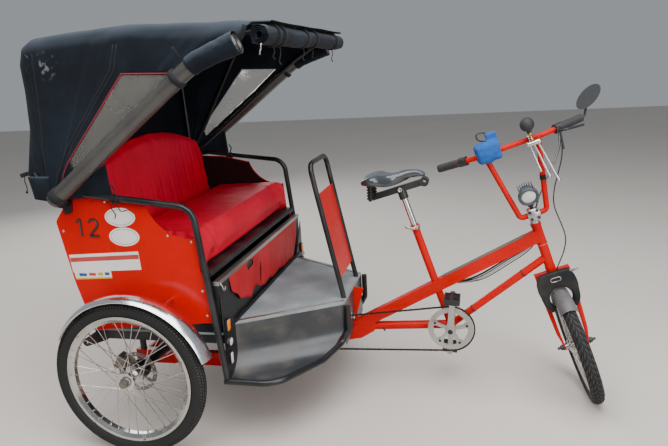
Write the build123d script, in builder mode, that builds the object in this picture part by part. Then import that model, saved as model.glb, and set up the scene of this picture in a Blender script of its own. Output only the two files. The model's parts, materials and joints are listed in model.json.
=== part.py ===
"""Three-wheeled cycle rickshaw: rider in front, bench for passengers under a folding hood.

All sizes are millimetres. While it is drawn, X runs forward from the rear axle, Y to the
rider's left and Z up from the road. Each finished piece is then moved so that the origin
lies under the middle of the vehicle. The steering is parked turned to the rider's right.
"""

from math import asin, cos, degrees, hypot, radians, sin, sqrt, tan
import os

from build123d import *

# Wheels
WHEEL_CLEARANCE = 105
REAR_RADIUS = 315
REAR_SECTION = 58
REAR_RIM_WIDTH = 40
FRONT_RADIUS = 256
FRONT_SECTION = 54
FRONT_RIM_WIDTH = 34
RIM_DEPTH = 25
RIM_WALL = 3
TYRE_SEAT = 8
SPOKE_COUNT = 36
SPOKE_WIDTH = 2.4
SPOKE_SWING = 66
HUB_FLANGE_RADIUS = 38
HUB_FLANGE_Y = 33
HUB_BARREL_RADIUS = 20
HUB_HALF = 46
ROTOR_RADIUS = 82
ROTOR_THICKNESS = 2.4
ROTOR_Y = 58
SHAFT_RADIUS = 10
FRONT_FLANGE_RADIUS = 24
FRONT_FLANGE_Y = 30
FRONT_BARREL_RADIUS = 15
FRONT_AXLE_RADIUS = 5

# Steering
HEAD_X = 1604
HEAD_Z = 570
HEAD_ANGLE = 18.4
HEAD_LENGTH = 208
HEAD_RADIUS = 20
HEAD_BAND = 114
PARK_ANGLE = 85
FORK_OFFSET = 20
BLADE_HALF = 63
BLADE_WIDTH = 32
BLADE_THICKNESS = 19
BLADE_TAPER = 60
DROPOUT_HALF = 50
DROPOUT = 7
CROWN_HEIGHT = 26
STEERER_RADIUS = 12.7
STEM_HEIGHT = 52
STEM_REACH = 60
CLAMP_WIDTH = 46
BAR_RADIUS = 11.1
BAR_RISE = 293
BAR_HALF_WIDTH = 291
BAR_SWEEP = 76
BAR_BEND = 60
UPRIGHT_LEAN = 6
UPRIGHT_FOOT = 54
UPRIGHT_HEAD = 108
GRIP_LENGTH = 92
GRIP_RADIUS = 16

# Rider's frame
BEAM_HEIGHT = 50
BEAM_WIDTH = 40
BEAM_REAR_X = 700
BEAM_REAR_Z = 249
BEAM_ON_HEAD = 154
DOWN_ON_HEAD = 55
CRANK_X = 1192
CRANK_Z = 305
SEAT_TUBE_X = 1041
SEAT_TUBE_Z = 757
SEAT_TUBE_RADIUS = 16.5
DOWN_TUBE_RADIUS = 16
LOWER_TUBE_RADIUS = 19
LOWER_TUBE_START = 150
BRACKET_RADIUS = 21
BRACKET_HALF = 36
SEATPOST_RADIUS = 13.6
SEATPOST_RISE = 150
SEATPOST_DEPTH = 180
RAIL_Y = 300
RAIL_Z = 235
RAIL_HEIGHT = 60
RAIL_WIDTH = 30
RAIL_BEND_X = 420
RAIL_REAR_X = -180
CROSS_RADIUS = 18
GUSSET = 6

# Saddle
SADDLE_REAR_X = 822
SADDLE_LENGTH = 274
SADDLE_TOP_Z = 1002
SADDLE_HALF = 104
SADDLE_BEAM_HEIGHT = 26

# Drive
CRANK_LENGTH = 170
CRANK_ANGLE = 4
RING_RADIUS = 98
RING_TEETH = 48
RING_Y = 52
ARM_Y = 82
ARM_THICKNESS = 13
SPINDLE_RADIUS = 9
PEDAL_LENGTH = 92
PEDAL_WIDTH = 66
PEDAL_HEIGHT = 22
PEDAL_PIN_RADIUS = 5
GEAR_X = 345
GEAR_RADIUS = 58
GEAR_AXLE_RADIUS = 6
AXLE_GEAR_RADIUS = 66
SPROCKET = 3
CHAIN_WIDTH = 7
CHAIN_HEIGHT = 8

# Rear axle
AXLE_TUBE_RADIUS = 22
AXLE_TUBE_INSET = 85
AXLE_TUBE_START = 78
DIFFERENTIAL_HALF = 34
DIFFERENTIAL_RADIUS = 52

# Passenger body
BODY_HALF = 555
PANEL = 4
FLOOR_Z = 465
FLOOR_THICKNESS = 10
FLOOR_REAR_X = 362
FLOOR_FRONT_X = 758
FLOOR_REAR_HALF = 450
FLOOR_FRONT_HALF = 195
SKIRT_CURVE = 90
STEP_Z = 275
STEP_CORNER_X = 555
STEP_RADIUS = 12.5
BODY_RAIL = 34
BODY_REAR_X = -200
LUG_BORE = 7
SEAT_Z = 714
SEAT_BOARD = 16
SEAT_FRONT_X = 318
SEAT_BACK_X = -105
SEAT_BACK_HEIGHT = 488
SEAT_BACK_THICKNESS = 58
SEAT_BACK_LEAN = 7
CUSHION_HEIGHT = 150
BOX_TOP_Z = 677
BOX_BOARD = 12
TRIM = 16
ARMREST_RADIUS = 12.5
GUARD_RADIUS = 11
GUARD_HALF = 140
FENDER_CLEARANCE = 27
FENDER_HALF = 42
FENDER_SHIFT = 18
FENDER_SHEET = 2
FENDER_FRONT = 17
FENDER_REAR = 155

# Hood
HOOD_OVERHANG = 37
HOOD_SKIN = 4
HOOD_CORNER = 90
HOOD_SHOULDER = 60
BOW_RADIUS = 9.5
SIDE_ROLL_RADIUS = 34
FRONT_ROLL_RADIUS = 40
FRONT_ROLL_X = 613

# Clearances: a running fit, and the gap left at every seat
RUNNING = 0.05
GAP = 0.3

# The wheels stand beside the body, and the hood reaches past both of its sides
TRACK = 2 * (BODY_HALF + WHEEL_CLEARANCE)
AXLE_TUBE_END = TRACK / 2 - AXLE_TUBE_INSET
FENDER_RADIUS = REAR_RADIUS + FENDER_CLEARANCE
HOOD_HALF = BODY_HALF + HOOD_OVERHANG

pieces = {}


def finish(name, piece, place=Location()):
    """Keeps one finished piece, moved to its place on the vehicle."""
    pieces[name] = piece.part.moved(place)


def side_plane(y):
    """The vehicle's length plane at that y, with X across and Z up."""
    return Plane(origin=(0, y, 0), x_dir=(1, 0, 0), z_dir=(0, -1, 0))


def rod(start, end, radius, mode=Mode.ADD):
    """Adds or cuts a straight round bar."""
    run = Vector(*end) - Vector(*start)
    with BuildSketch(Plane(origin=start, z_dir=run)) as section:
        Circle(radius)
    extrude(section.sketch, amount=run.length, mode=mode)


def across(x, y_from, y_to, z, radius, mode=Mode.ADD):
    """Adds or cuts a round bar that runs across the vehicle."""
    rod((x, y_from, z), (x, y_to, z), radius, mode)


def beam(start, end, height, width):
    """Adds a straight rectangular bar whose height lies in the vehicle's length plane."""
    run = Vector(*end) - Vector(*start)
    with BuildSketch(Plane(origin=start, x_dir=(0, 1, 0), z_dir=run)) as section:
        Rectangle(width, height)
    extrude(section.sketch, amount=run.length)


def bent(points, bends, radius, mode=Mode.ADD):
    """Adds or cuts a round bar bent along the points, with one bend radius or one each."""
    with BuildLine() as path:
        FilletPolyline(*points, radius=bends)
    with BuildSketch(Plane(origin=path.line @ 0, z_dir=path.line % 0)) as section:
        Circle(radius)
    sweep(section.sketch, path=path.line, mode=mode)


def cable(name, points, radius, place=Location()):
    """Makes a cable along the points, each bend as wide as its two runs leave room for."""
    points = [Vector(point) for point in points]
    runs = [end - start for start, end in zip(points, points[1:])]
    bends = [
        0.45 * min(before.length, after.length) / tan(radians(before.get_angle(after)) / 2)
        for before, after in zip(runs, runs[1:])
    ]
    with BuildPart() as tube:
        bent(points, bends, radius)
    print(name, "bend radii", [round(bend) for bend in bends])
    finish(name, tube, place)


def plate(points, y, thickness, mode=Mode.ADD):
    """Adds or cuts a flat plate outlined by (X, Z) points, from y to y + thickness."""
    with BuildSketch(side_plane(y + thickness)) as outline:
        with BuildLine():
            Polyline(*points, close=True)
        make_face()
    extrude(outline.sketch, amount=thickness, mode=mode)


# Steering frame: drawn upright about its own Z axis, with the origin at the head tube's foot
tilt = radians(HEAD_ANGLE)
turn = radians(PARK_ANGLE)
steer_axis = Vector(-sin(tilt), 0, cos(tilt))
ahead = Vector(cos(tilt), 0, sin(tilt))
steer_forward = ahead * cos(turn) - Vector(0, 1, 0) * sin(turn)
STEERING = Plane(origin=(HEAD_X, 0, HEAD_Z), x_dir=steer_forward, z_dir=steer_axis).location

# The turned front wheel leans with the head tube, and its tread still touches the road
front_ring = FRONT_RADIUS - FRONT_SECTION / 2
wheel_lean = ahead.Z * sin(turn)
axle_z = front_ring * sqrt(1 - wheel_lean**2) + FRONT_SECTION / 2
fork_length = (HEAD_Z + FORK_OFFSET * steer_forward.Z - axle_z) / cos(tilt)
FRONT_WHEEL = STEERING * Location((FORK_OFFSET, 0, -fork_length))
REAR_LEFT = Location((0, TRACK / 2, REAR_RADIUS))
REAR_RIGHT = Location((0, -TRACK / 2, REAR_RADIUS), (0, 0, 180))


def make_tyre(radius, section, rim_width):
    """A tyre about the Y axis, with its bead between the rim's walls."""
    flange = radius - section + TYRE_SEAT / 2
    neck = rim_width - 2 * RIM_WALL - 2 * GAP
    with BuildPart() as tyre:
        with BuildSketch():
            with Locations((radius - section / 2, 0)):
                Circle(section / 2)
            with Locations((flange, 0)):
                Rectangle(section, section, align=(Align.MAX, Align.CENTER), mode=Mode.SUBTRACT)
            with Locations((flange - TYRE_SEAT, 0)):
                Rectangle(section / 2, neck, align=(Align.MIN, Align.CENTER))
        revolve(axis=Axis.Y)
    return tyre


def make_wheel(radius, section, rim_width, hub_profile, flange_radius, flange_y):
    """Rim, crossed spokes and hub about the Y axis; hub_profile lists (radius, y) points."""
    flange = radius - section + TYRE_SEAT / 2 - GAP
    well = flange - TYRE_SEAT - GAP
    inner = flange - RIM_DEPTH
    half = rim_width / 2
    rim_profile = [
        (flange, half), (flange, half - RIM_WALL), (well, half - RIM_WALL),
        (well, RIM_WALL - half), (flange, RIM_WALL - half), (flange, -half),
        (well - RIM_WALL, -half), (inner, -half / 2), (inner, half / 2),
        (well - RIM_WALL, half),
    ]
    spokes = []
    for index in range(SPOKE_COUNT):
        side = 1 if index % 2 else -1
        lean = 1 if index % 4 < 2 else -1
        rim_angle = radians(360 / SPOKE_COUNT * index)
        hub_angle = rim_angle + lean * radians(SPOKE_SWING)
        hub_y = side * (flange_y + lean * SPOKE_WIDTH)
        hub_ring = flange_radius - 4
        start = Vector(hub_ring * cos(hub_angle), hub_y, hub_ring * sin(hub_angle))
        rim_ring = inner + RIM_WALL
        end = Vector(rim_ring * cos(rim_angle), side * half / 4, rim_ring * sin(rim_angle))
        spokes.append((start, end - start))
    length = min(run.length for start, run in spokes)
    with BuildPart() as wheel:
        for profile in (rim_profile, hub_profile):
            with BuildSketch():
                with BuildLine():
                    Polyline(*profile, close=True)
                make_face()
            revolve(axis=Axis.Y)
        with Locations(*[Plane(origin=start, z_dir=run).location for start, run in spokes]):
            Box(
                SPOKE_WIDTH, SPOKE_WIDTH, length,
                align=(Align.CENTER, Align.CENTER, Align.MIN),
            )
    return wheel


def hub_shape(half, barrel, flange_radius, flange_y, bore):
    """The (radius, y) outline of a spool-shaped hub with two spoke flanges."""
    edge = 4
    return [
        (bore, -half), (barrel, -half), (barrel, -flange_y - edge),
        (flange_radius, -flange_y - edge), (flange_radius, -flange_y + edge),
        (barrel, -flange_y + 2 * edge), (barrel, flange_y - 2 * edge),
        (flange_radius, flange_y - edge), (flange_radius, flange_y + edge),
        (barrel, flange_y + edge), (barrel, half), (bore, half),
    ]


# Rear wheels, each on a shaft of its own that reaches into the differential
rear_hub = hub_shape(
    HUB_HALF, HUB_BARREL_RADIUS, HUB_FLANGE_RADIUS, HUB_FLANGE_Y, SHAFT_RADIUS + RUNNING
)
shaft_reach = TRACK / 2 - DIFFERENTIAL_HALF / 3
for side, place in (("right", REAR_RIGHT), ("left", REAR_LEFT)):
    finish(
        f"rear_wheel_{side}",
        make_wheel(
            REAR_RADIUS, REAR_SECTION, REAR_RIM_WIDTH, rear_hub,
            HUB_FLANGE_RADIUS, HUB_FLANGE_Y,
        ),
        place,
    )
    finish(f"rear_tyre_{side}", make_tyre(REAR_RADIUS, REAR_SECTION, REAR_RIM_WIDTH), place)
    with BuildPart() as rear_shaft:
        rod((0, -shaft_reach, 0), (0, HUB_HALF + 12, 0), SHAFT_RADIUS)
        rod((0, -ROTOR_Y - 8, 0), (0, -HUB_HALF - GAP, 0), HUB_BARREL_RADIUS + 4)
        rod((0, HUB_HALF + GAP, 0), (0, HUB_HALF + 10, 0), HUB_BARREL_RADIUS - 4)
        with BuildSketch(side_plane(-ROTOR_Y + ROTOR_THICKNESS / 2)):
            Circle(ROTOR_RADIUS)
            Circle(ROTOR_RADIUS - 17, mode=Mode.SUBTRACT)
            with PolarLocations(ROTOR_RADIUS / 2, 5):
                Rectangle(ROTOR_RADIUS - 10, 14)
            with PolarLocations(ROTOR_RADIUS - 8, 20):
                Circle(3, mode=Mode.SUBTRACT)
        extrude(amount=ROTOR_THICKNESS)
    finish(f"rear_shaft_{side}", rear_shaft, place)

# Front wheel, turning on the axle between the fork's dropouts
front_half = DROPOUT_HALF - DROPOUT / 2 - GAP
front_hub = hub_shape(
    front_half, FRONT_BARREL_RADIUS, FRONT_FLANGE_RADIUS, FRONT_FLANGE_Y,
    FRONT_AXLE_RADIUS + RUNNING,
)
finish(
    "front_wheel",
    make_wheel(
        FRONT_RADIUS, FRONT_SECTION, FRONT_RIM_WIDTH, front_hub,
        FRONT_FLANGE_RADIUS, FRONT_FLANGE_Y,
    ),
    FRONT_WHEEL,
)
finish("front_tyre", make_tyre(FRONT_RADIUS, FRONT_SECTION, FRONT_RIM_WIDTH), FRONT_WHEEL)

# Rider's frame: head tube, sloping beam, seat tube, down tube and two rails to the rear
head_foot = Vector(HEAD_X, 0, HEAD_Z)
head_top = head_foot + steer_axis * HEAD_LENGTH
beam_front = head_foot + steer_axis * BEAM_ON_HEAD
beam_rear = Vector(BEAM_REAR_X, 0, BEAM_REAR_Z)
beam_line = (beam_front - beam_rear).normalized()
crank_centre = Vector(CRANK_X, 0, CRANK_Z)
seat_top = Vector(SEAT_TUBE_X, 0, SEAT_TUBE_Z)
seat_line = (seat_top - crank_centre).normalized()
lower_start = Vector(BEAM_REAR_X + LOWER_TUBE_START, 0, RAIL_Z + RAIL_HEIGHT / 2 + 20)
floor_top = FLOOR_Z + FLOOR_THICKNESS / 2
floor_under = FLOOR_Z - FLOOR_THICKNESS / 2
cross_front = RAIL_BEND_X + 40
GEAR_Z = RAIL_Z

with BuildPart() as main_frame:
    rod(head_foot, head_top, HEAD_RADIUS)
    for height in (0, HEAD_BAND, HEAD_LENGTH - 14):
        foot = head_foot + steer_axis * height
        rod(foot, foot + steer_axis * (14 if height != HEAD_BAND else 4), HEAD_RADIUS + 1.5)
    beam(beam_rear, beam_front, BEAM_HEIGHT, BEAM_WIDTH)
    rod(crank_centre, seat_top, SEAT_TUBE_RADIUS)
    rod(crank_centre, head_foot + steer_axis * DOWN_ON_HEAD, DOWN_TUBE_RADIUS)
    rod(lower_start, crank_centre, LOWER_TUBE_RADIUS)
    across(CRANK_X, -BRACKET_HALF, BRACKET_HALF, CRANK_Z, BRACKET_RADIUS)
    # Boxed heel where the beam, the lower tube and the rails meet
    rail_under = RAIL_Z - RAIL_HEIGHT / 2
    heel = [
        (BEAM_REAR_X - 20, rail_under), (BEAM_REAR_X + 40, rail_under + 14),
        (BEAM_REAR_X + 90, rail_under + 24), (lower_start.X, lower_start.Z - LOWER_TUBE_RADIUS),
        (lower_start.X + 10, lower_start.Z + LOWER_TUBE_RADIUS),
        (BEAM_REAR_X - 20, BEAM_REAR_Z + 10),
    ]
    plate(heel, -BEAM_WIDTH / 2, BEAM_WIDTH)
    # Upright plate between the beam and the floor's front edge
    web = [
        (FLOOR_FRONT_X + GAP, floor_top), (FLOOR_FRONT_X + 46, floor_top - 8),
        (FLOOR_FRONT_X + 14, BEAM_REAR_Z + 100), (FLOOR_FRONT_X + 14, BEAM_REAR_Z + 40),
        (FLOOR_FRONT_X + GAP, BEAM_REAR_Z + 40),
    ]
    plate(web, -GUSSET / 2, GUSSET)
    for side in (-1, 1):
        with BuildLine() as path:
            FilletPolyline(
                (BEAM_REAR_X - 8, side * 8, RAIL_Z), (RAIL_BEND_X, side * RAIL_Y, RAIL_Z),
                (RAIL_REAR_X, side * RAIL_Y, RAIL_Z), radius=80,
            )
        start = Plane(origin=path.line @ 0, x_dir=(0, 0, 1), z_dir=path.line % 0)
        with BuildSketch(start) as box:
            Rectangle(RAIL_HEIGHT, RAIL_WIDTH)
        sweep(box.sketch, path=path.line)
        across(cross_front, side * 20, side * (RAIL_Y - 40), RAIL_Z, CROSS_RADIUS)
        # Side plates that carry the gear hub
        cradle_y = side * (RING_Y + 12)
        cradle = [
            (GEAR_X, GEAR_Z - 22), (cross_front, RAIL_Z - 26),
            (cross_front, RAIL_Z + 26), (GEAR_X, GEAR_Z + 22),
        ]
        plate(cradle, cradle_y - GUSSET / 2, GUSSET)
        across(GEAR_X, cradle_y - GUSSET / 2, cradle_y + GUSSET / 2, GEAR_Z, 22)
        across(
            GEAR_X, cradle_y - GUSSET, cradle_y + GUSSET, GEAR_Z,
            GEAR_AXLE_RADIUS + RUNNING, mode=Mode.SUBTRACT,
        )
    across(cross_front, -RAIL_Y / 2, RAIL_Y / 2, RAIL_Z, CROSS_RADIUS)
    across(RAIL_REAR_X + 30, -RAIL_Y, RAIL_Y, RAIL_Z, CROSS_RADIUS)
    # Seat clamp, bores for the steerer, the seat post and the crank spindle
    rod(seat_top - seat_line * 18, seat_top, SEAT_TUBE_RADIUS + 4)
    bearing = 20
    rod(head_foot - steer_axis, head_top + steer_axis, STEERER_RADIUS + RUNNING, Mode.SUBTRACT)
    rod(
        head_foot + steer_axis * bearing, head_top - steer_axis * bearing,
        STEERER_RADIUS + 3, Mode.SUBTRACT,
    )
    socket = seat_top - seat_line * (SEATPOST_DEPTH + GAP)
    rod(socket, seat_top + seat_line, SEATPOST_RADIUS + RUNNING, Mode.SUBTRACT)
    across(
        CRANK_X, -BRACKET_HALF - 1, BRACKET_HALF + 1, CRANK_Z,
        SPINDLE_RADIUS + RUNNING, mode=Mode.SUBTRACT,
    )
finish("main_frame", main_frame)

# Seat post
post_top = seat_top + seat_line * SEATPOST_RISE
with BuildPart() as seatpost:
    rod(seat_top - seat_line * SEATPOST_DEPTH, post_top, SEATPOST_RADIUS)
finish("seatpost", seatpost)

# Saddle cover: sections from the tail to the nose as (share of length, half width share,
# drop of the top, depth)
SADDLE_SECTIONS = [
    (0.00, 0.55, 44, 16), (0.08, 0.90, 26, 34), (0.24, 1.00, 18, 44), (0.42, 0.66, 24, 44),
    (0.60, 0.36, 14, 40), (0.80, 0.26, 0, 34), (0.94, 0.22, 6, 26), (1.00, 0.14, 16, 14),
]
with BuildPart() as saddle_cover:
    sections = []
    for share, width, drop, depth in SADDLE_SECTIONS:
        origin = (SADDLE_REAR_X + share * SADDLE_LENGTH, 0, SADDLE_TOP_Z - drop - depth / 2)
        with BuildSketch(Plane(origin=origin, x_dir=(0, 1, 0), z_dir=(1, 0, 0))) as section:
            RectangleRounded(2 * width * SADDLE_HALF, depth, depth * 0.42)
        sections.append(section.sketch)
    loft(sections)
finish("saddle_cover", saddle_cover)

# Saddle frame: beam from the nose loop to the rear springs, clamped on the post
spring_x = SADDLE_REAR_X + 40
spring_top = SADDLE_TOP_Z - 63
spring_foot = SADDLE_TOP_Z - 122
nose = Vector(SADDLE_REAR_X + SADDLE_LENGTH - 8, 0, SADDLE_TOP_Z - 54)
with BuildPart() as saddle_frame:
    tail = Vector(spring_x, 0, spring_foot)
    beam(tail, nose, SADDLE_BEAM_HEIGHT, 24)
    across(nose.X, -20, 20, nose.Z, 19)
    across(nose.X, -21, 21, nose.Z, 8, mode=Mode.SUBTRACT)
    across(spring_x, -52, 52, spring_foot, 8)
    for side in (-1, 1):
        for turn_index in range(5):
            z = spring_foot + 4 + turn_index * (spring_top - spring_foot - 8) / 4
            with Locations((spring_x, side * 46, z)):
                Cylinder(15, 5)
        rod((spring_x, side * 46, spring_foot), (spring_x, side * 46, spring_top), 10)
    clamp_end = post_top + seat_line * 24
    rod(post_top - seat_line * 26, clamp_end, SEATPOST_RADIUS + 6)
    across(clamp_end.X, -24, 24, clamp_end.Z - 6, 13)
    rod(post_top - seat_line * 27, post_top, SEATPOST_RADIUS + RUNNING, Mode.SUBTRACT)
finish("saddle_frame", saddle_frame)

# Fork: crown, two flattened blades with dropouts, and the steerer through the head tube
crown_top = -GAP
crown_foot = crown_top - CROWN_HEIGHT
stem_z = HEAD_LENGTH + STEM_HEIGHT
with BuildPart() as fork:
    with Locations((0, 0, crown_top)):
        Cylinder(HEAD_RADIUS + 1, CROWN_HEIGHT, align=(Align.CENTER, Align.CENTER, Align.MAX))
        Cylinder(
            STEERER_RADIUS, stem_z - crown_top + 14,
            align=(Align.CENTER, Align.CENTER, Align.MIN),
        )
    with Locations((0, 0, crown_foot)):
        Box(
            BLADE_WIDTH, 2 * BLADE_HALF + BLADE_THICKNESS, CROWN_HEIGHT * 0.7,
            align=(Align.CENTER, Align.CENTER, Align.MIN),
        )
    for side in (-1, 1):
        levels = (
            (0, BLADE_HALF, crown_foot + 6, BLADE_WIDTH, BLADE_THICKNESS),
            (2, BLADE_HALF - 2, -fork_length / 2, BLADE_WIDTH, BLADE_THICKNESS),
            (10, BLADE_HALF - 6, BLADE_TAPER - fork_length, BLADE_WIDTH - 4, BLADE_THICKNESS - 4),
            (FORK_OFFSET, DROPOUT_HALF, 8 - fork_length, 14, DROPOUT),
        )
        sections = []
        for x, y, z, width, thickness in levels:
            with BuildSketch(Plane.XY.offset(z)) as section:
                with Locations((x, side * y)):
                    RectangleRounded(width, thickness, thickness * 0.3)
            sections.append(section.sketch)
        loft(sections, ruled=True)
        tip_in = side * (DROPOUT_HALF - DROPOUT / 2)
        tip_out = side * (DROPOUT_HALF + DROPOUT / 2)
        across(FORK_OFFSET, tip_in, tip_out, -fork_length, 13)
        across(FORK_OFFSET, tip_out, tip_out + side * 7, -fork_length, 9)
        across(FORK_OFFSET, 0, tip_out + side * 13, -fork_length, FRONT_AXLE_RADIUS)
finish("fork", fork, STEERING)

# Stem: a collar on the steerer, and a clamp whose front plate has four bolts
with BuildPart() as stem:
    with Locations((0, 0, HEAD_LENGTH + GAP)):
        Cylinder(
            STEERER_RADIUS + 6, STEM_HEIGHT + 12, align=(Align.CENTER, Align.CENTER, Align.MIN)
        )
    rod((0, 0, stem_z), (STEM_REACH, 0, stem_z), 15)
    across(STEM_REACH, -CLAMP_WIDTH / 2, CLAMP_WIDTH / 2, stem_z, BAR_RADIUS + 8)
    with Locations((STEM_REACH + BAR_RADIUS + 3, 0, stem_z)):
        Box(10, CLAMP_WIDTH, 44)
    with Locations((0, 0, HEAD_LENGTH)):
        Cylinder(
            STEERER_RADIUS + RUNNING, STEM_HEIGHT + 14 + GAP,
            align=(Align.CENTER, Align.CENTER, Align.MIN), mode=Mode.SUBTRACT,
        )
    across(STEM_REACH, -CLAMP_WIDTH, CLAMP_WIDTH, stem_z, BAR_RADIUS + RUNNING, Mode.SUBTRACT)
finish("stem", stem, STEERING)

# Handlebar: clamped tube with two uprights, and a bar swept back to the grips
bar_z = stem_z + BAR_RISE
bar_x = STEM_REACH + UPRIGHT_LEAN
knee_y = UPRIGHT_HEAD + 26
bar_end = Vector(bar_x - BAR_SWEEP, BAR_HALF_WIDTH, bar_z)
bar_knee = Vector(bar_x, knee_y, bar_z)
bar_out = (bar_end - bar_knee).normalized()
bar_route = [
    (bar_end.X, -bar_end.Y, bar_z), (bar_x, -knee_y, bar_z),
    (bar_x, knee_y, bar_z), (bar_end.X, bar_end.Y, bar_z),
]
with BuildPart() as handlebar:
    bent(
        [
            (bar_x, -UPRIGHT_HEAD, bar_z), (STEM_REACH, -UPRIGHT_FOOT, stem_z),
            (STEM_REACH, UPRIGHT_FOOT, stem_z), (bar_x, UPRIGHT_HEAD, bar_z),
        ],
        18, BAR_RADIUS,
    )
    bent(bar_route, BAR_BEND, BAR_RADIUS - 0.4)
finish("handlebar", handlebar, STEERING)


def on_bar(distance, side):
    """The point that far in from the bar's end, on the left (1) or the right (-1)."""
    point = bar_end - bar_out * distance
    return Vector(point.X, side * point.Y, point.Z)


grip_bore = BAR_RADIUS - 0.4 + RUNNING
with BuildPart() as grips:
    for side in (-1, 1):
        rod(on_bar(-4, side), on_bar(GRIP_LENGTH, side), GRIP_RADIUS)
        rod(on_bar(0, side), on_bar(GRIP_LENGTH + 1, side), grip_bore, Mode.SUBTRACT)
finish("grips", grips, STEERING)

# Controls: twist ring on the right, switch, brake lever and gear lever on the left
with BuildPart() as controls:
    for side in (-1, 1):
        start = on_bar(GRIP_LENGTH + GAP, side)
        rod(start, on_bar(GRIP_LENGTH + 34, side), GRIP_RADIUS + 3)
    block = on_bar(GRIP_LENGTH + 18, 1)
    pivot = block + Vector(34, 0, -6)
    rod(block, pivot, 11)
    bent([pivot, pivot + Vector(14, 20, -4), on_bar(6, 1) + Vector(46, 0, -22)], 14, 5)
    rod(pivot, pivot + Vector(10, -10, -74), 4)
    for side in (-1, 1):
        start = on_bar(GRIP_LENGTH - 1, side)
        rod(start, on_bar(GRIP_LENGTH + 36, side), grip_bore, Mode.SUBTRACT)
finish("controls", controls, STEERING)

# Oval mirror on a short stalk at the left end of the bar
stalk = bar_end + bar_out * (4 + GAP)
mirror_centre = bar_end + Vector(0, 50, 70)
with BuildPart() as bar_mirror:
    bent([stalk, stalk + bar_out * 16, mirror_centre], 14, 5)
    face = Plane(origin=mirror_centre + Vector(9, 0, 0), x_dir=(0, 1, 0), z_dir=(-1, 0, 0))
    with BuildSketch(face) as glass:
        Ellipse(58, 31, rotation=-30)
    with BuildSketch(face.offset(18)) as back:
        Ellipse(46, 21, rotation=-30)
    loft([glass.sketch, back.sketch])
finish("mirror", bar_mirror, STEERING)

# Horn: rubber bulb over three trumpets, held on the bar by a ring
HORN_Y = 78
BULB_RADIUS = 28
horn_x = bar_x + BAR_RADIUS + 26
TRUMPETS = [(-13, 118, 8), (3, 152, 18), (19, 176, 30)]
with BuildPart() as horn:
    with BuildSketch(side_plane(HORN_Y)) as bulb:
        with BuildLine():
            ball = CenterArc((horn_x, bar_z + 62), BULB_RADIUS, 90, -155)
            Polyline(
                ball @ 1, (horn_x + 8, bar_z + 20), (horn_x + 8, bar_z - 8), (horn_x, bar_z - 8),
                ball @ 0,
            )
        make_face()
    revolve(bulb.sketch, axis=Axis((horn_x, HORN_Y, 0), (0, 0, 1)))
    across(horn_x, HORN_Y - 24, HORN_Y + 30, bar_z - 14, 10)
    for shift, drop, spread in TRUMPETS:
        top = Vector(horn_x, HORN_Y + shift, bar_z - 12)
        rod(top, top + Vector(4, spread, -drop), 6.5)
    across(bar_x, HORN_Y - 9, HORN_Y + 9, bar_z, BAR_RADIUS + 5)
    rod((bar_x, HORN_Y, bar_z), (horn_x, HORN_Y, bar_z), 6)
    across(bar_x, HORN_Y - 10, HORN_Y + 10, bar_z, grip_bore, Mode.SUBTRACT)
finish("horn", horn, STEERING)

# Headlamp with cooling fins, on a bracket over the stem clamp
LAMP_RADIUS = 41
lamp_centre = Vector(STEM_REACH + 22, 0, stem_z + 88)
lamp_axis = Vector(1, 0, -0.25).normalized()
with BuildPart() as headlamp:
    with BuildSketch(Plane(origin=lamp_centre - lamp_axis * 36, z_dir=lamp_axis)) as back:
        Circle(LAMP_RADIUS * 0.6)
    with BuildSketch(Plane(origin=lamp_centre, z_dir=lamp_axis)) as front:
        Circle(LAMP_RADIUS)
    loft([back.sketch, front.sketch])
    extrude(front.sketch, amount=22)
    for fin in range(-2, 3):
        with Locations(lamp_centre + Vector(-16, fin * 12, 26)):
            Box(44, 4, 36)
    bracket_foot = (STEM_REACH, 0, stem_z + BAR_RADIUS + 8 + GAP)
    bent([bracket_foot, (STEM_REACH, 0, stem_z + 40), lamp_centre - Vector(8, 0, 30)], 8, 8)
finish("headlamp", headlamp, STEERING)

# Textile sleeve of a folding lock, wound round the bar above the right upright
with BuildPart() as lock_wrap:
    with Locations((bar_x, -UPRIGHT_HEAD + 18, bar_z + 8)):
        Box(80, 104, 88)
    fillet(lock_wrap.edges(), 22)
    with Locations((bar_x - 4, -UPRIGHT_HEAD + 48, bar_z + 62)):
        Box(46, 50, 40)
    crest = [edge for edge in lock_wrap.edges() if edge.center().Z > bar_z + 70]
    fillet(crest, 10)
    bent(bar_route, BAR_BEND, BAR_RADIUS + GAP, Mode.SUBTRACT)
    foot = Vector(STEM_REACH, -UPRIGHT_FOOT, stem_z)
    head = Vector(bar_x, -UPRIGHT_HEAD, bar_z)
    rod(foot, head + (head - foot) * 0.07, BAR_RADIUS + GAP, Mode.SUBTRACT)
finish("lock_wrap", lock_wrap, STEERING)

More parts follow.
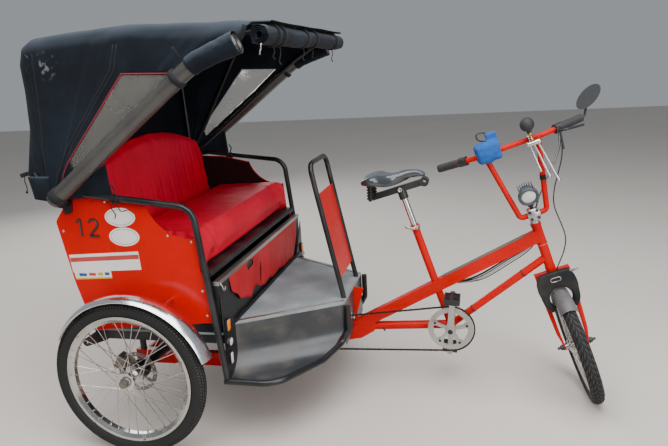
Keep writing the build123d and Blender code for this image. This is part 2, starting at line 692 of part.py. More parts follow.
# Ring lock round the front tyre, bolted to the front of the crown
LOCK_OUTER = 70
LOCK_INNER = 46
LOCK_THICKNESS = 24
lock_x = BLADE_WIDTH / 2 + 18
lock_z = -fork_length + front_ring
lock_plane = Plane(
    origin=(lock_x + LOCK_THICKNESS, 0, lock_z), x_dir=(0, 1, 0), z_dir=(1, 0, 0)
)
with BuildPart() as ring_lock:
    with BuildSketch(lock_plane):
        with BuildLine():
            outer = CenterArc((0, 0), LOCK_OUTER, -32, 244)
            inner = CenterArc((0, 0), LOCK_INNER, -32, 244)
            Line(outer @ 0, inner @ 0)
            Line(outer @ 1, inner @ 1)
        make_face()
        with BuildLine():
            Polyline((-46, 106), (46, 106), (66, 30), (40, 40), (-40, 40), (-66, 30), close=True)
        make_face()
        Circle(LOCK_INNER, mode=Mode.SUBTRACT)
    extrude(amount=-LOCK_THICKNESS)
    for side in (-1, 1):
        rod((BLADE_WIDTH / 2 + GAP, side * 30, lock_z + 96), (lock_x + 2, side * 30, lock_z + 96), 6)
    rod((lock_x + 12, 40, lock_z + 96), (lock_x + 12, 66, lock_z + 96), 8)
    rod((lock_x + 12, -60, lock_z + 60), (lock_x + 12, -74, lock_z + 66), 8)
finish("ring_lock", ring_lock, STEERING)

# Short mudguard over the front tyre, on a stay under the crown
GUARD_AIR = 7
guard_inner = FRONT_SECTION / 2 + GUARD_AIR
GUARD_FRONT = 36
GUARD_REAR = 22
with BuildPart() as front_guard:
    with BuildSketch():
        with BuildLine():
            outer = CenterArc((front_ring, 0), guard_inner + FENDER_SHEET, -84, 168)
            inner = CenterArc((front_ring, 0), guard_inner, -84, 168)
            Line(outer @ 0, inner @ 0)
            Line(outer @ 1, inner @ 1)
        make_face()
    revolve(axis=Axis.Y, revolution_arc=GUARD_FRONT + GUARD_REAR)
guard_place = Location((FORK_OFFSET, 0, -fork_length)) * Location((0, 0, 0), (0, -90 - GUARD_REAR, 0))
guard_arch = front_guard.part.moved(guard_place)
with BuildPart() as front_guard:
    add(guard_arch)
    guard_top = -fork_length + sqrt((front_ring + guard_inner + 1) ** 2 - FORK_OFFSET**2)
    rod((0, 0, guard_top), (0, 0, crown_foot - GAP), 6)
finish("front_guard", front_guard, STEERING)

# Cranks, chainring and pedals: drawn about the Y axis with the right arm up
CRANKS = Location((CRANK_X, 0, CRANK_Z), (0, CRANK_ANGLE, 0))
ring_inner = RING_RADIUS - 24
with BuildPart() as chainring:
    with BuildSketch(side_plane(-RING_Y + SPROCKET / 2)):
        Circle(RING_RADIUS)
        Circle(ring_inner, mode=Mode.SUBTRACT)
        with PolarLocations(ring_inner - 2, 5, start_angle=90):
            Circle(14)
        with PolarLocations(RING_RADIUS + 1.5, RING_TEETH):
            Rectangle(9, 5.5, mode=Mode.SUBTRACT)
    extrude(amount=SPROCKET)
finish("chainring", chainring, CRANKS)

arm_out = ARM_Y + ARM_THICKNESS / 2
pedal_in = arm_out + 4
pedal_out = pedal_in + PEDAL_LENGTH
with BuildPart() as cranks:
    across(0, -ARM_Y, ARM_Y, 0, SPINDLE_RADIUS)
    across(0, -BRACKET_HALF - 2, -RING_Y - 4, 0, SPINDLE_RADIUS + 5)
    with BuildSketch(side_plane(-RING_Y - SPROCKET / 2 - GAP)):
        Circle(25)
        with PolarLocations(ring_inner / 2, 5, start_angle=90):
            Rectangle(ring_inner, 17)
        with PolarLocations(ring_inner - 2, 5, start_angle=90):
            Circle(11)
    extrude(amount=6)
    for side in (-1, 1):
        sense = -side
        across(0, side * (BRACKET_HALF + 2), side * (arm_out + 2), 0, 17)
        with BuildSketch(side_plane(side * ARM_Y + ARM_THICKNESS / 2)) as arm:
            with BuildLine():
                Polyline(
                    (-15, 0), (15, 0), (10, sense * CRANK_LENGTH), (-10, sense * CRANK_LENGTH),
                    close=True,
                )
            make_face()
            with Locations((0, sense * CRANK_LENGTH)):
                Circle(14)
        extrude(arm.sketch, amount=ARM_THICKNESS)
        pin_z = sense * CRANK_LENGTH
        across(0, side * ARM_Y, side * (pedal_out - 6), pin_z, PEDAL_PIN_RADIUS)
    # The chainring's own thickness stays free between the spindle boss and the spider
    with BuildSketch(side_plane(-RING_Y + SPROCKET / 2 + GAP)) as free:
        Circle(RING_RADIUS)
        Circle(ring_inner - 30, mode=Mode.SUBTRACT)
    extrude(free.sketch, amount=SPROCKET + 2 * GAP, mode=Mode.SUBTRACT)
finish("cranks", cranks, CRANKS)

for name, side in (("right", -1), ("left", 1)):
    with BuildPart() as pedal:
        pin_z = -side * CRANK_LENGTH
        middle = side * (pedal_in + pedal_out) / 2
        with Locations((0, middle, pin_z)):
            Box(PEDAL_WIDTH, PEDAL_LENGTH, PEDAL_HEIGHT)
            Box(PEDAL_WIDTH - 14, PEDAL_LENGTH - 14, PEDAL_HEIGHT, mode=Mode.SUBTRACT)
            Box(PEDAL_WIDTH - 14, 9, PEDAL_HEIGHT - 6)
        across(0, side * pedal_in, side * pedal_out, pin_z, 11)
        across(
            0, side * (pedal_in - 1), side * (pedal_out - 6 + GAP), pin_z,
            PEDAL_PIN_RADIUS + RUNNING, mode=Mode.SUBTRACT,
        )
    finish(f"pedal_{name}", pedal, CRANKS)

# Gear hub under the footwell, turning on an axle between the frame's side plates
gear_half = RING_Y + 12 - GUSSET / 2 - GAP
with BuildPart() as gear_hub:
    across(GEAR_X, -gear_half, gear_half, GEAR_Z, 28)
    across(GEAR_X, 14 - RING_Y, RING_Y - 14, GEAR_Z, 42)
    for side in (-1, 1):
        y = side * RING_Y
        across(GEAR_X, y - SPROCKET / 2, y + SPROCKET / 2, GEAR_Z, GEAR_RADIUS)
    across(
        GEAR_X, -gear_half - 1, gear_half + 1, GEAR_Z,
        GEAR_AXLE_RADIUS + RUNNING, mode=Mode.SUBTRACT,
    )
finish("gear_hub", gear_hub)

with BuildPart() as gear_axle:
    pin = RING_Y + 12 + GUSSET / 2
    across(GEAR_X, -pin - 12, pin + 12, GEAR_Z, GEAR_AXLE_RADIUS)
    for side in (-1, 1):
        across(GEAR_X, side * (pin + GAP), side * (pin + 8), GEAR_Z, 10)
finish("gear_axle", gear_axle)


def chain(front, rear, y):
    """Adds a closed chain loop round two sprockets, each given as (x, z, radius)."""
    run_x = front[0] - rear[0]
    run_z = front[1] - rear[1]
    span = hypot(run_x, run_z)
    origin = (rear[0], y + CHAIN_WIDTH / 2, rear[1])
    plane = Plane(origin=origin, x_dir=(run_x / span, 0, run_z / span), z_dir=(0, -1, 0))
    for extra, mode in ((CHAIN_HEIGHT, Mode.ADD), (0, Mode.SUBTRACT)):
        small = rear[2] + GAP + extra
        large = front[2] + GAP + extra
        swing = degrees(asin((large - small) / span))
        with BuildSketch(plane) as outline:
            with BuildLine():
                back = CenterArc((0, 0), small, 90 + swing, 180 - 2 * swing)
                fore = CenterArc((span, 0), large, -90 - swing, 180 + 2 * swing)
                Line(back @ 0, fore @ 1)
                Line(back @ 1, fore @ 0)
            make_face()
        extrude(outline.sketch, amount=CHAIN_WIDTH, mode=mode)


with BuildPart() as drive_chain:
    chain((CRANK_X, CRANK_Z, RING_RADIUS), (GEAR_X, GEAR_Z, GEAR_RADIUS), -RING_Y)
finish("drive_chain", drive_chain)
with BuildPart() as axle_chain:
    chain((GEAR_X, GEAR_Z, GEAR_RADIUS), (0, REAR_RADIUS, AXLE_GEAR_RADIUS), RING_Y)
finish("axle_chain", axle_chain)

# Rear axle: two tubes with bearings for the wheel shafts, on carriers over the rails
rail_top = RAIL_Z + RAIL_HEIGHT / 2
LAND = 24
with BuildPart() as rear_axle:
    for side in (-1, 1):
        end = side * AXLE_TUBE_END
        start = side * AXLE_TUBE_START
        across(0, start, end, REAR_RADIUS, AXLE_TUBE_RADIUS)
        across(0, end - side * 10, end, REAR_RADIUS, AXLE_TUBE_RADIUS + 16)
        carrier = [(-75, rail_top), (75, rail_top), (34, REAR_RADIUS + 14), (-34, REAR_RADIUS + 14)]
        plate(carrier, side * RAIL_Y - 5, 10)
        across(0, start - side, end + side, REAR_RADIUS, SHAFT_RADIUS + RUNNING, Mode.SUBTRACT)
        across(
            0, start + side * LAND, end - side * LAND, REAR_RADIUS,
            SHAFT_RADIUS + 6, Mode.SUBTRACT,
        )
finish("rear_axle", rear_axle)

with BuildPart() as differential:
    across(0, -DIFFERENTIAL_HALF, DIFFERENTIAL_HALF, REAR_RADIUS, DIFFERENTIAL_RADIUS)
    across(0, -DIFFERENTIAL_HALF - 18, RING_Y + 8, REAR_RADIUS, 28)
    across(0, RING_Y - SPROCKET / 2, RING_Y + SPROCKET / 2, REAR_RADIUS, AXLE_GEAR_RADIUS)
    across(0, -RING_Y - 20, RING_Y + 20, REAR_RADIUS, SHAFT_RADIUS + RUNNING, Mode.SUBTRACT)
finish("differential", differential)

# Brake calipers astride the rotors, on brackets from the axle tubes' flanges
CALIPER_ANGLE = 150
caliper_in = AXLE_TUBE_END + GAP
caliper_out = TRACK / 2 - ROTOR_Y + 14
rotor_y = TRACK / 2 - ROTOR_Y
with BuildPart() as calipers:
    for side in (-1, 1):
        radial = Location((0, 0, REAR_RADIUS), (0, -CALIPER_ANGLE, 0))
        with Locations(radial):
            with Locations((ROTOR_RADIUS - 8, side * (caliper_in + caliper_out) / 2, 0)):
                Box(42, caliper_out - caliper_in, 56)
            with Locations((ROTOR_RADIUS + 2, side * rotor_y, 0)):
                Box(60, 5, 60, align=(Align.MAX, Align.CENTER, Align.CENTER), mode=Mode.SUBTRACT)
            bracket_y = side * (caliper_in + 4)
            with Locations((AXLE_TUBE_RADIUS, bracket_y, 0)):
                Box(60, 8, 34, align=(Align.MIN, Align.CENTER, Align.CENTER))
finish("calipers", calipers)

# Body frame: rails under the side panels, cross tubes, posts and lashing lugs at the rear
body_rail_z = floor_under - GAP - BODY_RAIL / 2
body_rail_y = BODY_HALF - PANEL - GAP - BODY_RAIL / 2
LUG_X = BODY_REAR_X - 58
lug_z = body_rail_z - 46
CROSS_PLACES = (-150, 300)
with BuildPart() as body_frame:
    for side in (-1, 1):
        with Locations((BODY_REAR_X, side * body_rail_y, body_rail_z)):
            Box(
                FLOOR_REAR_X - BODY_REAR_X - 6, BODY_RAIL, BODY_RAIL,
                align=(Align.MIN, Align.CENTER, Align.CENTER),
            )
        for x in CROSS_PLACES:
            rod((x, side * RAIL_Y, rail_top), (x, side * RAIL_Y, body_rail_z), 14)
        ear = [
            (BODY_REAR_X, body_rail_z + 10), (BODY_REAR_X + 70, body_rail_z),
            (BODY_REAR_X + 40, body_rail_z - 30), (LUG_X + 6, lug_z - 16), (LUG_X - 8, lug_z + 14),
        ]
        plate(ear, side * body_rail_y - 5, 10)
        across(LUG_X, side * body_rail_y - 5, side * body_rail_y + 5, lug_z, 17)
        across(LUG_X, side * body_rail_y - 6, side * body_rail_y + 6, lug_z, LUG_BORE, Mode.SUBTRACT)
    for x in CROSS_PLACES:
        across(x, -body_rail_y, body_rail_y, body_rail_z, 14)
finish("body_frame", body_frame)

# Side panels: thin sheet with a hollow that sweeps down to the front of the seat
REAR_EDGE = [(-218, 1010), (-295, 914), (-251, 662), (-227, 571), (-205, 462)]
with BuildPart() as side_panels:
    for y in (-BODY_HALF + PANEL, BODY_HALF):
        with BuildSketch(side_plane(y)) as outline:
            with BuildLine():
                Polyline(*REAR_EDGE, (326, 512), (327, 650), (293, 716), (284, 846))
                ThreePointArc((284, 846), (158, 884), (101, 968))
                Polyline((101, 968), (-49, 1001), REAR_EDGE[0])
            make_face()
            fillet(outline.vertices().group_by(Axis.X)[0], 24)
        extrude(outline.sketch, amount=PANEL)
finish("side_panels", side_panels)

# Rear panel between the side panels
inside = BODY_HALF - PANEL - GAP
with BuildPart() as rear_panel:
    lower = [point for point in REAR_EDGE if point[1] > floor_top]
    lower.append((REAR_EDGE[-1][0] - 2, floor_top + GAP))
    with BuildSketch(side_plane(inside)) as strip:
        with BuildLine():
            Polyline(*lower, *[(x + PANEL, z) for x, z in reversed(lower)], close=True)
        make_face()
    extrude(strip.sketch, amount=2 * inside)
finish("rear_panel", rear_panel)

# Seat box: front board, side boards and the board that carries the cushion
seat_half = inside - GAP
board_top = SEAT_Z - SEAT_BOARD
with BuildPart() as seat_box:
    with Locations((FLOOR_REAR_X - 8, 0, floor_top + GAP)):
        Box(
            BOX_BOARD, 2 * seat_half, BOX_TOP_Z - TRIM - GAP - floor_top - GAP,
            align=(Align.MAX, Align.CENTER, Align.MIN),
        )
    with Locations((BODY_REAR_X + 10, 0, SEAT_Z)):
        Box(
            SEAT_FRONT_X - BODY_REAR_X - 10, 2 * seat_half, SEAT_BOARD,
            align=(Align.MIN, Align.CENTER, Align.MAX),
        )
    for side in (-1, 1):
        with Locations((BODY_REAR_X + 40, side * seat_half, floor_top + GAP)):
            Box(
                FLOOR_REAR_X - 10 - BODY_REAR_X - 40, BOX_BOARD, BOX_TOP_Z - TRIM - floor_top - 2 * GAP,
                align=(Align.MIN, Align.MAX if side > 0 else Align.MIN, Align.MIN),
            )
        with Locations((BODY_REAR_X + 40, side * seat_half, floor_top + GAP)):
            Box(
                SEAT_FRONT_X - BODY_REAR_X - 50, BOX_BOARD, board_top - floor_top,
                align=(Align.MIN, Align.MAX if side > 0 else Align.MIN, Align.MIN),
            )
    across(SEAT_FRONT_X, -seat_half, seat_half, board_top + 4, 12)
finish("seat_box", seat_box)

# Bright trim along the box's top edge and the floor's worn side edges
with BuildPart() as trim_strips:
    with Locations((FLOOR_REAR_X - 4, 0, BOX_TOP_Z)):
        Box(24, 2 * seat_half, TRIM, align=(Align.MAX, Align.CENTER, Align.MAX))
    for side in (-1, 1):
        lip = Vector(FLOOR_REAR_X + 8, side * (FLOOR_REAR_HALF - 18), floor_top + GAP + 1.5)
        end = Vector(FLOOR_FRONT_X - 6, side * (FLOOR_FRONT_HALF - 14), lip.Z)
        with BuildSketch(Plane(origin=lip, x_dir=(0, 0, 1), z_dir=end - lip)) as strip:
            Rectangle(3, 16)
        extrude(strip.sketch, amount=(end - lip).length)
finish("trim_strips", trim_strips)

# Seat cushion and back
with BuildPart() as seat_cushion:
    crown = SEAT_Z + CUSHION_HEIGHT
    with BuildSketch(side_plane(seat_half - 2)) as section:
        with BuildLine():
            Polyline(
                (SEAT_BACK_X + GAP, SEAT_Z + GAP), (SEAT_FRONT_X - 4, SEAT_Z + GAP),
                (SEAT_FRONT_X - 10, crown), (SEAT_BACK_X + GAP, crown - 26), close=True,
            )
        make_face()
        fillet(section.vertices().group_by(Axis.Y)[-1], 40)
    extrude(section.sketch, amount=2 * seat_half - 4)
finish("seat_cushion", seat_cushion)

lean = radians(SEAT_BACK_LEAN)
back_plane = Plane(
    origin=(SEAT_BACK_X, 0, SEAT_Z + GAP + 8), x_dir=(0, 1, 0), z_dir=(cos(lean), 0, sin(lean))
)
with BuildPart() as seat_back:
    back_half = seat_half - 20
    with BuildSketch(back_plane) as outline:
        with BuildLine():
            Polyline(
                (back_half - 46, SEAT_BACK_HEIGHT - 92), (back_half, SEAT_BACK_HEIGHT - 180),
                (back_half, 0), (-back_half, 0), (-back_half, SEAT_BACK_HEIGHT - 180),
                (46 - back_half, SEAT_BACK_HEIGHT - 92),
            )
            ThreePointArc(
                (46 - back_half, SEAT_BACK_HEIGHT - 92), (0, SEAT_BACK_HEIGHT),
                (back_half - 46, SEAT_BACK_HEIGHT - 92),
            )
        make_face()
    extrude(outline.sketch, amount=-SEAT_BACK_THICKNESS)
finish("seat_back", seat_back)

# Floor: one board under the seat and the footwell
inner_floor = BODY_HALF - PANEL - 2
with BuildPart() as floor_pan:
    with BuildSketch(Plane.XY.offset(floor_under)):
        with BuildLine():
            Polyline(
                (BODY_REAR_X + 6, -inner_floor), (FLOOR_REAR_X - 6, -inner_floor),
                (FLOOR_REAR_X - 6, -FLOOR_REAR_HALF), (FLOOR_FRONT_X, -FLOOR_FRONT_HALF),
                (FLOOR_FRONT_X, FLOOR_FRONT_HALF), (FLOOR_REAR_X - 6, FLOOR_REAR_HALF),
                (FLOOR_REAR_X - 6, inner_floor), (BODY_REAR_X + 6, inner_floor), close=True,
            )
        make_face()
    extrude(amount=FLOOR_THICKNESS)
finish("floor_pan", floor_pan)

# Step rim: bent tube from the body's corner round the step and up the footwell's front edge
step_half = BODY_HALF + GAP + ARMREST_RADIUS
rim_front_x = FLOOR_FRONT_X + STEP_RADIUS + GAP
rim_front_y = FLOOR_FRONT_HALF + 8
RIM_PLAN = [
    (FLOOR_REAR_X - 12, step_half), (STEP_CORNER_X, step_half), (FLOOR_FRONT_X - 66, 348),
    (FLOOR_FRONT_X - 12, rim_front_y + 26), (rim_front_x, rim_front_y),
]
with BuildPart() as step_rim:
    for side in (-1, 1):
        rises = (0, 0, 0, 26, 74)
        route = [(x, side * y, STEP_Z + rise) for (x, y), rise in zip(RIM_PLAN, rises)]
        route.append((rim_front_x, side * rim_front_y, FLOOR_Z - 8))
        bent(route, [120, 60, 34, 24], STEP_RADIUS)
finish("step_rim", step_rim)

# Skirt: side walls that sweep out into the steps, trimmed along the rim, and a front wall
edge_start = Vector(FLOOR_REAR_X, FLOOR_REAR_HALF, 0)
edge_end = Vector(FLOOR_FRONT_X, FLOOR_FRONT_HALF, 0)
edge = (edge_end - edge_start).normalized()
wall_top = floor_under - GAP
REACH = 420
with BuildPart() as skirt:
    origin = edge_start - edge * REACH
    section_plane = Plane(
        origin=(origin.X, origin.Y, 0), x_dir=(-edge.Y, edge.X, 0), z_dir=(edge.X, edge.Y, 0)
    )
    with BuildSketch(section_plane) as section:
        with BuildLine():
            wall = Line((-PANEL, wall_top), (-PANEL, STEP_Z + SKIRT_CURVE))
            hollow = CenterArc((SKIRT_CURVE, STEP_Z + SKIRT_CURVE), SKIRT_CURVE + PANEL, 180, 90)
            ledge = Line(hollow @ 1, (REACH, STEP_Z - PANEL))
            lip = Line(ledge @ 1, (REACH, STEP_Z))
            face = Line(lip @ 1, (SKIRT_CURVE, STEP_Z))
            sweep_out = CenterArc((SKIRT_CURVE, STEP_Z + SKIRT_CURVE), SKIRT_CURVE, 270, -90)
            inner_wall = Line(sweep_out @ 1, (0, wall_top))
            Line(inner_wall @ 1, wall @ 0)
        make_face()
    extrude(section.sketch, amount=(edge_end - edge_start).length + 2 * REACH)
    mirror(about=Plane.XZ)
    with BuildSketch(Plane.XY.offset(STEP_Z - 2 * PANEL)) as trim:
        with BuildLine():
            FilletPolyline(*RIM_PLAN, radius=[120, 60, 34])
            Line(RIM_PLAN[-1], (RIM_PLAN[-1][0], 0))
            Line((RIM_PLAN[-1][0], 0), (RIM_PLAN[0][0], 0))
            Line((RIM_PLAN[0][0], 0), RIM_PLAN[0])
        make_face()
        mirror(about=Plane.XZ)
        offset(amount=-STEP_RADIUS - GAP)
        with Locations((FLOOR_REAR_X + PANEL / 2 + GAP, 0)):
            Rectangle(400, 3 * step_half, align=(Align.MAX, Align.CENTER), mode=Mode.SUBTRACT)
    extrude(trim.sketch, amount=wall_top - STEP_Z + 3 * PANEL, mode=Mode.INTERSECT)
    with Locations((FLOOR_FRONT_X, 0, wall_top)):
        Box(
            PANEL, 2 * FLOOR_FRONT_HALF, wall_top - STEP_Z,
            align=(Align.MAX, Align.CENTER, Align.MAX),
        )
    with Locations((FLOOR_FRONT_X, 0, STEP_Z - 1)):
        Box(40, BEAM_WIDTH + 12, 66, align=(Align.CENTER, Align.CENTER, Align.MIN), mode=Mode.SUBTRACT)
    share = (FLOOR_FRONT_X - GEAR_X) / (CRANK_X - GEAR_X)
    run_rear = GEAR_Z + GEAR_RADIUS
    run_front = CRANK_Z + RING_RADIUS
    with Locations((FLOOR_FRONT_X, -RING_Y, run_rear + share * (run_front - run_rear) + 4)):
        Box(40, CHAIN_WIDTH + 22, CHAIN_HEIGHT + 28, mode=Mode.SUBTRACT)
finish("skirt", skirt)

# End plates behind the steps, with reflector and lamps
plate_in = FLOOR_REAR_HALF - 2
plate_out = BODY_HALF - GAP
with BuildPart() as side_plates:
    for side in (-1, 1):
        face = Plane(origin=(FLOOR_REAR_X, 0, 0), x_dir=(0, 1, 0), z_dir=(1, 0, 0))
        with BuildSketch(face) as outline:
            with BuildLine():
                Polyline(
                    (side * plate_in, STEP_Z - PANEL), (side * plate_out, STEP_Z - PANEL),
                    (side * plate_out, BOX_TOP_Z - 40), (side * (plate_out - 26), BOX_TOP_Z - 80),
                    (side * plate_in, floor_top + 14), close=True,
                )
            make_face()
        extrude(outline.sketch, amount=PANEL / 2, both=True)
        y = side * (plate_out - 26)
        front = FLOOR_REAR_X + PANEL / 2
        with Locations((front, y, 495)):
            Box(9, 24, 42, align=(Align.MIN, Align.CENTER, Align.CENTER))
        rod((front, y, 426), (front + 12, y, 426), 18)
        with Locations((front, y, 358)):
            Box(9, 20, 46, align=(Align.MIN, Align.CENTER, Align.CENTER))
finish("side_plates", side_plates)

# Armrests: bent tubes from the panel's top edge down to the step rim
with BuildPart() as armrests:
    for side in (-1, 1):
        y = side * step_half
        bent(
            [
                (-140, y, 1023), (292, y, 968),
                (FLOOR_REAR_X, y, STEP_Z + STEP_RADIUS - 4),
            ],
            70, ARMREST_RADIUS,
        )
    split(bisect_by=Plane.XY.offset(STEP_Z + STEP_RADIUS + GAP), keep=Keep.TOP)
finish("armrests", armrests)

# Fenders: bright bands over the rear tyres, on stays from the side panels
STAY_PLACES = (-150, 160)
with BuildPart() as fender_band:
    with BuildSketch():
        with BuildLine():
            edge_radius = FENDER_RADIUS - 16
            outer = ThreePointArc(
                (edge_radius, FENDER_HALF), (FENDER_RADIUS, 0), (edge_radius, -FENDER_HALF)
            )
            inner = ThreePointArc(
                (edge_radius - FENDER_SHEET, FENDER_HALF - FENDER_SHEET / 2),
                (FENDER_RADIUS - FENDER_SHEET, 0),
                (edge_radius - FENDER_SHEET, FENDER_SHEET / 2 - FENDER_HALF),
            )
            Line(outer @ 0, inner @ 0)
            Line(outer @ 1, inner @ 1)
        make_face()
    revolve(axis=Axis.Y, revolution_arc=FENDER_REAR - FENDER_FRONT)
with BuildPart() as fenders:
    for side in (-1, 1):
        middle = side * TRACK / 2
        add(fender_band.part.moved(
            Location((FENDER_SHIFT, middle, REAR_RADIUS), (0, -FENDER_REAR, 0))
        ))
        for x in STAY_PLACES:
            z = REAR_RADIUS + sqrt(edge_radius**2 - (x - FENDER_SHIFT) ** 2) - FENDER_SHEET
            across(x, side * (BODY_HALF + GAP), middle - side * (FENDER_HALF - 6), z, 5)
finish("fenders", fenders)

# Guard behind the rider: bent tube on the floor's front edge, with a sheet panel
GUARD_LINE = [(744, 0), (650, 465), (628, 582)]
guard_side = [(x, floor_top + GAP + rise) for x, rise in GUARD_LINE]
with BuildPart() as guard_frame:
    right = [(x, -GUARD_HALF, z) for x, z in guard_side]
    left = [(x, GUARD_HALF, z) for x, z in reversed(guard_side)]
    first = Vector(*right[0]) - (Vector(*right[1]) - Vector(*right[0])).normalized() * 6
    last = Vector(first.X, -first.Y, first.Z)
    bent([first, *right[1:], *left[:-1], last], 45, GUARD_RADIUS)
    split(bisect_by=Plane.XY.offset(floor_top + GAP), keep=Keep.TOP)
finish("guard_frame", guard_frame)
with BuildPart() as guard_panel:
    foot, knee = guard_side[0], guard_side[1]
    slope = (knee[0] - foot[0]) / (knee[1] - foot[1])
    low, high = foot[1] + 80, foot[1] + 450
    beam(
        (foot[0] + slope * (low - foot[1]), 0, low), (foot[0] + slope * (high - foot[1]), 0, high),
        PANEL, 2 * (GUARD_HALF - GUARD_RADIUS - GAP),
    )
finish("guard_panel", guard_panel)

# Hood cover: cloth over the bows, cut away along the front bow and at the side windows
HOOD_BACK = [
    (-352, 1010), (-385, 1105), (-343, 1275), (-337, 1417), (-340, 1510), (-318, 1573),
    (-272, 1600), (-110, 1614), (115, 1624), (380, 1614), (644, 1602),
]
HOOD_CUT = [
    (700, 1596), (572, 1596), (556, 1548), (372, 1478), (200, 1350), (-10, 1190),
    (-262, 1000), (-400, 990), (-400, 800), (700, 800),
]
HOOD_WINDOW = [(92, 1452), (279, 1443), (150, 1336), (-36, 1196), (-146, 1112), (-166, 1150)]


def hood_block(inset, front, foot):
    """A block that fills the hood down to the foot, with rounded shoulders and back corners."""
    half = HOOD_HALF - inset
    rear = min(x for x, z in HOOD_BACK) + inset
    top = max(z for x, z in HOOD_BACK) - inset
    with BuildPart() as block:
        with BuildSketch(side_plane(half)) as profile:
            with BuildLine():
                rear_foot = (HOOD_BACK[0][0], foot)
                Polyline(rear_foot, *HOOD_BACK, (front, HOOD_BACK[-1][1]), (front, foot), close=True)
            make_face()
            if inset:
                offset(amount=-inset, kind=Kind.INTERSECTION)
        extrude(profile.sketch, amount=2 * half)
        with BuildSketch(Plane(origin=(rear, 0, top), x_dir=(0, 1, 0), z_dir=(1, 0, 0))) as outline:
            Rectangle(2 * half, top - foot, align=(Align.CENTER, Align.MAX))
            fillet(outline.vertices().group_by(Axis.Z)[-1], HOOD_SHOULDER - inset)
        extrude(outline.sketch, amount=front - rear, mode=Mode.INTERSECT)
        with BuildSketch(Plane(origin=(rear, 0, foot))) as outline:
            Rectangle(front - rear, 2 * half, align=(Align.MIN, Align.CENTER))
            fillet(outline.vertices().group_by(Axis.X)[0], HOOD_CORNER - inset)
        extrude(outline.sketch, amount=top - foot, mode=Mode.INTERSECT)
    return block.part


hood_front = HOOD_BACK[-1][0]
cloth = hood_block(0, hood_front + 1, 900)
room = hood_block(HOOD_SKIN, hood_front + 40, 850)
with BuildPart() as hood_cover:
    add(cloth)
    add(room, mode=Mode.SUBTRACT)
    plate(HOOD_CUT, -HOOD_HALF - 1, 2 * HOOD_HALF + 2, Mode.SUBTRACT)
    plate(HOOD_WINDOW, -HOOD_HALF - 1, 2 * HOOD_HALF + 2, Mode.SUBTRACT)
finish("hood_cover", hood_cover)

# Hood bows: three bent tubes fanned out from plates at the body's rear corners
BOW_PIVOT = (-240, 1005)
BOWS = [[(388, 1480), (560, 1582)], [(112, 1604)], [(-262, 1566)]]
bow_half = HOOD_HALF - HOOD_SKIN - BOW_RADIUS - GAP
with BuildPart() as hood_bows:
    for tops in BOWS:
        reach = Vector(tops[0][0] - BOW_PIVOT[0], 0, tops[0][1] - BOW_PIVOT[1]).normalized()
        foot = (BOW_PIVOT[0] + reach.X * 24, BOW_PIVOT[1] + reach.Z * 24)
        side_route = [foot, *tops]
        route = [(x, -bow_half, z) for x, z in side_route]
        route += [(x, bow_half, z) for x, z in reversed(side_route)]
        bends = [140, 55, 55, 140] if len(tops) == 2 else 50
        bent(route, bends, BOW_RADIUS)
    for side in (-1, 1):
        across(BOW_PIVOT[0], side * (bow_half - 5), side * (bow_half + 5), BOW_PIVOT[1], 32)
        corner = [(-262, 990), (-240, 942), (-214, 950), (-206, 1000), (-222, 1034), (-258, 1030)]
        inner_y = side * (BODY_HALF + GAP)
        plate(corner, min(inner_y, inner_y + side * 6), 6)
        across(BOW_PIVOT[0], inner_y, side * bow_half, BOW_PIVOT[1], 10)
finish("hood_bows", hood_bows)

# Rolled-up curtains: vinyl along the side openings, cloth under the roof's front edge
with BuildPart() as side_rolls:
    for side in (-1, 1):
        y = side * (HOOD_HALF + GAP + SIDE_ROLL_RADIUS)
        bent([(-236, y, 1011), (375, y, 1471), (548, y, 1534)], 160, SIDE_ROLL_RADIUS)
finish("side_rolls", side_rolls)
with BuildPart() as front_roll:
    roll_z = HOOD_CUT[0][1] - GAP - FRONT_ROLL_RADIUS
    across(FRONT_ROLL_X, -HOOD_HALF - 6, HOOD_HALF + 6, roll_z, FRONT_ROLL_RADIUS)
finish("front_roll", front_roll)

# Cables. Two bundles meet at the head tube: one from the bar's left controls down behind the
# left upright, and one beside the head tube and along the beam's underside to the cranks.
# The frame's route is in (way back, side, sag) from where the beam meets the head tube.
FRAME_CABLE_RADIUS = 7
FRAME_CABLES = [
    (-9, 30, -82), (-3, 31, -48), (18, 32, -19), (52, 31, -2), (100, 29, 3), (150, 27, 5),
    (198, 21, 9), (250, 13, 13), (302, 9, 15), (354, 10, 9), (402, 12, 0),
]
BAR_CABLE_RADIUS = 5
BAR_CABLES = [
    (44, 190, -20.6), (42, 184, -55), (36, 158, -101), (24, 118, -155), (8, 78, -208),
    (-8, 42, -257), (-21, 18, -303), (-28, 4, -336),
]
# The front brake's cable leaves the left lever, loops out in front and ends at the crown
BRAKE_CABLE_RADIUS = 2.5
BRAKE_CABLE_UPPER = [
    (60, 192, -16), (60, 188, -55), (58, 170, -113), (56, 138, -168), (56, 104, -223), (59, 82, -285),
]
BRAKE_CABLE_LOWER = [
    (60, 88, 200), (60, 92, 130), (60, 70, 80), (53, 44, 42), (42, 25, 14), (30, 17, -7),
    (20.5, 11.4, -18.4),
]
beam_down = Vector(beam_line.Z, 0, -beam_line.X)
cable_depth = BEAM_HEIGHT / 2 + FRAME_CABLE_RADIUS + GAP
frame_route = [
    beam_front - beam_line * back + beam_down * (cable_depth + sag) + Vector(0, y, 0)
    for back, y, sag in FRAME_CABLES
]
cable("frame_cables", frame_route, FRAME_CABLE_RADIUS)
bundle_route = [(x, y, bar_z + drop) for x, y, drop in BAR_CABLES]
cable("bar_cables", bundle_route, BAR_CABLE_RADIUS, STEERING)
upper = [(x, y, bar_z + drop) for x, y, drop in BRAKE_CABLE_UPPER]
cable("brake_cable", upper + BRAKE_CABLE_LOWER, BRAKE_CABLE_RADIUS, STEERING)

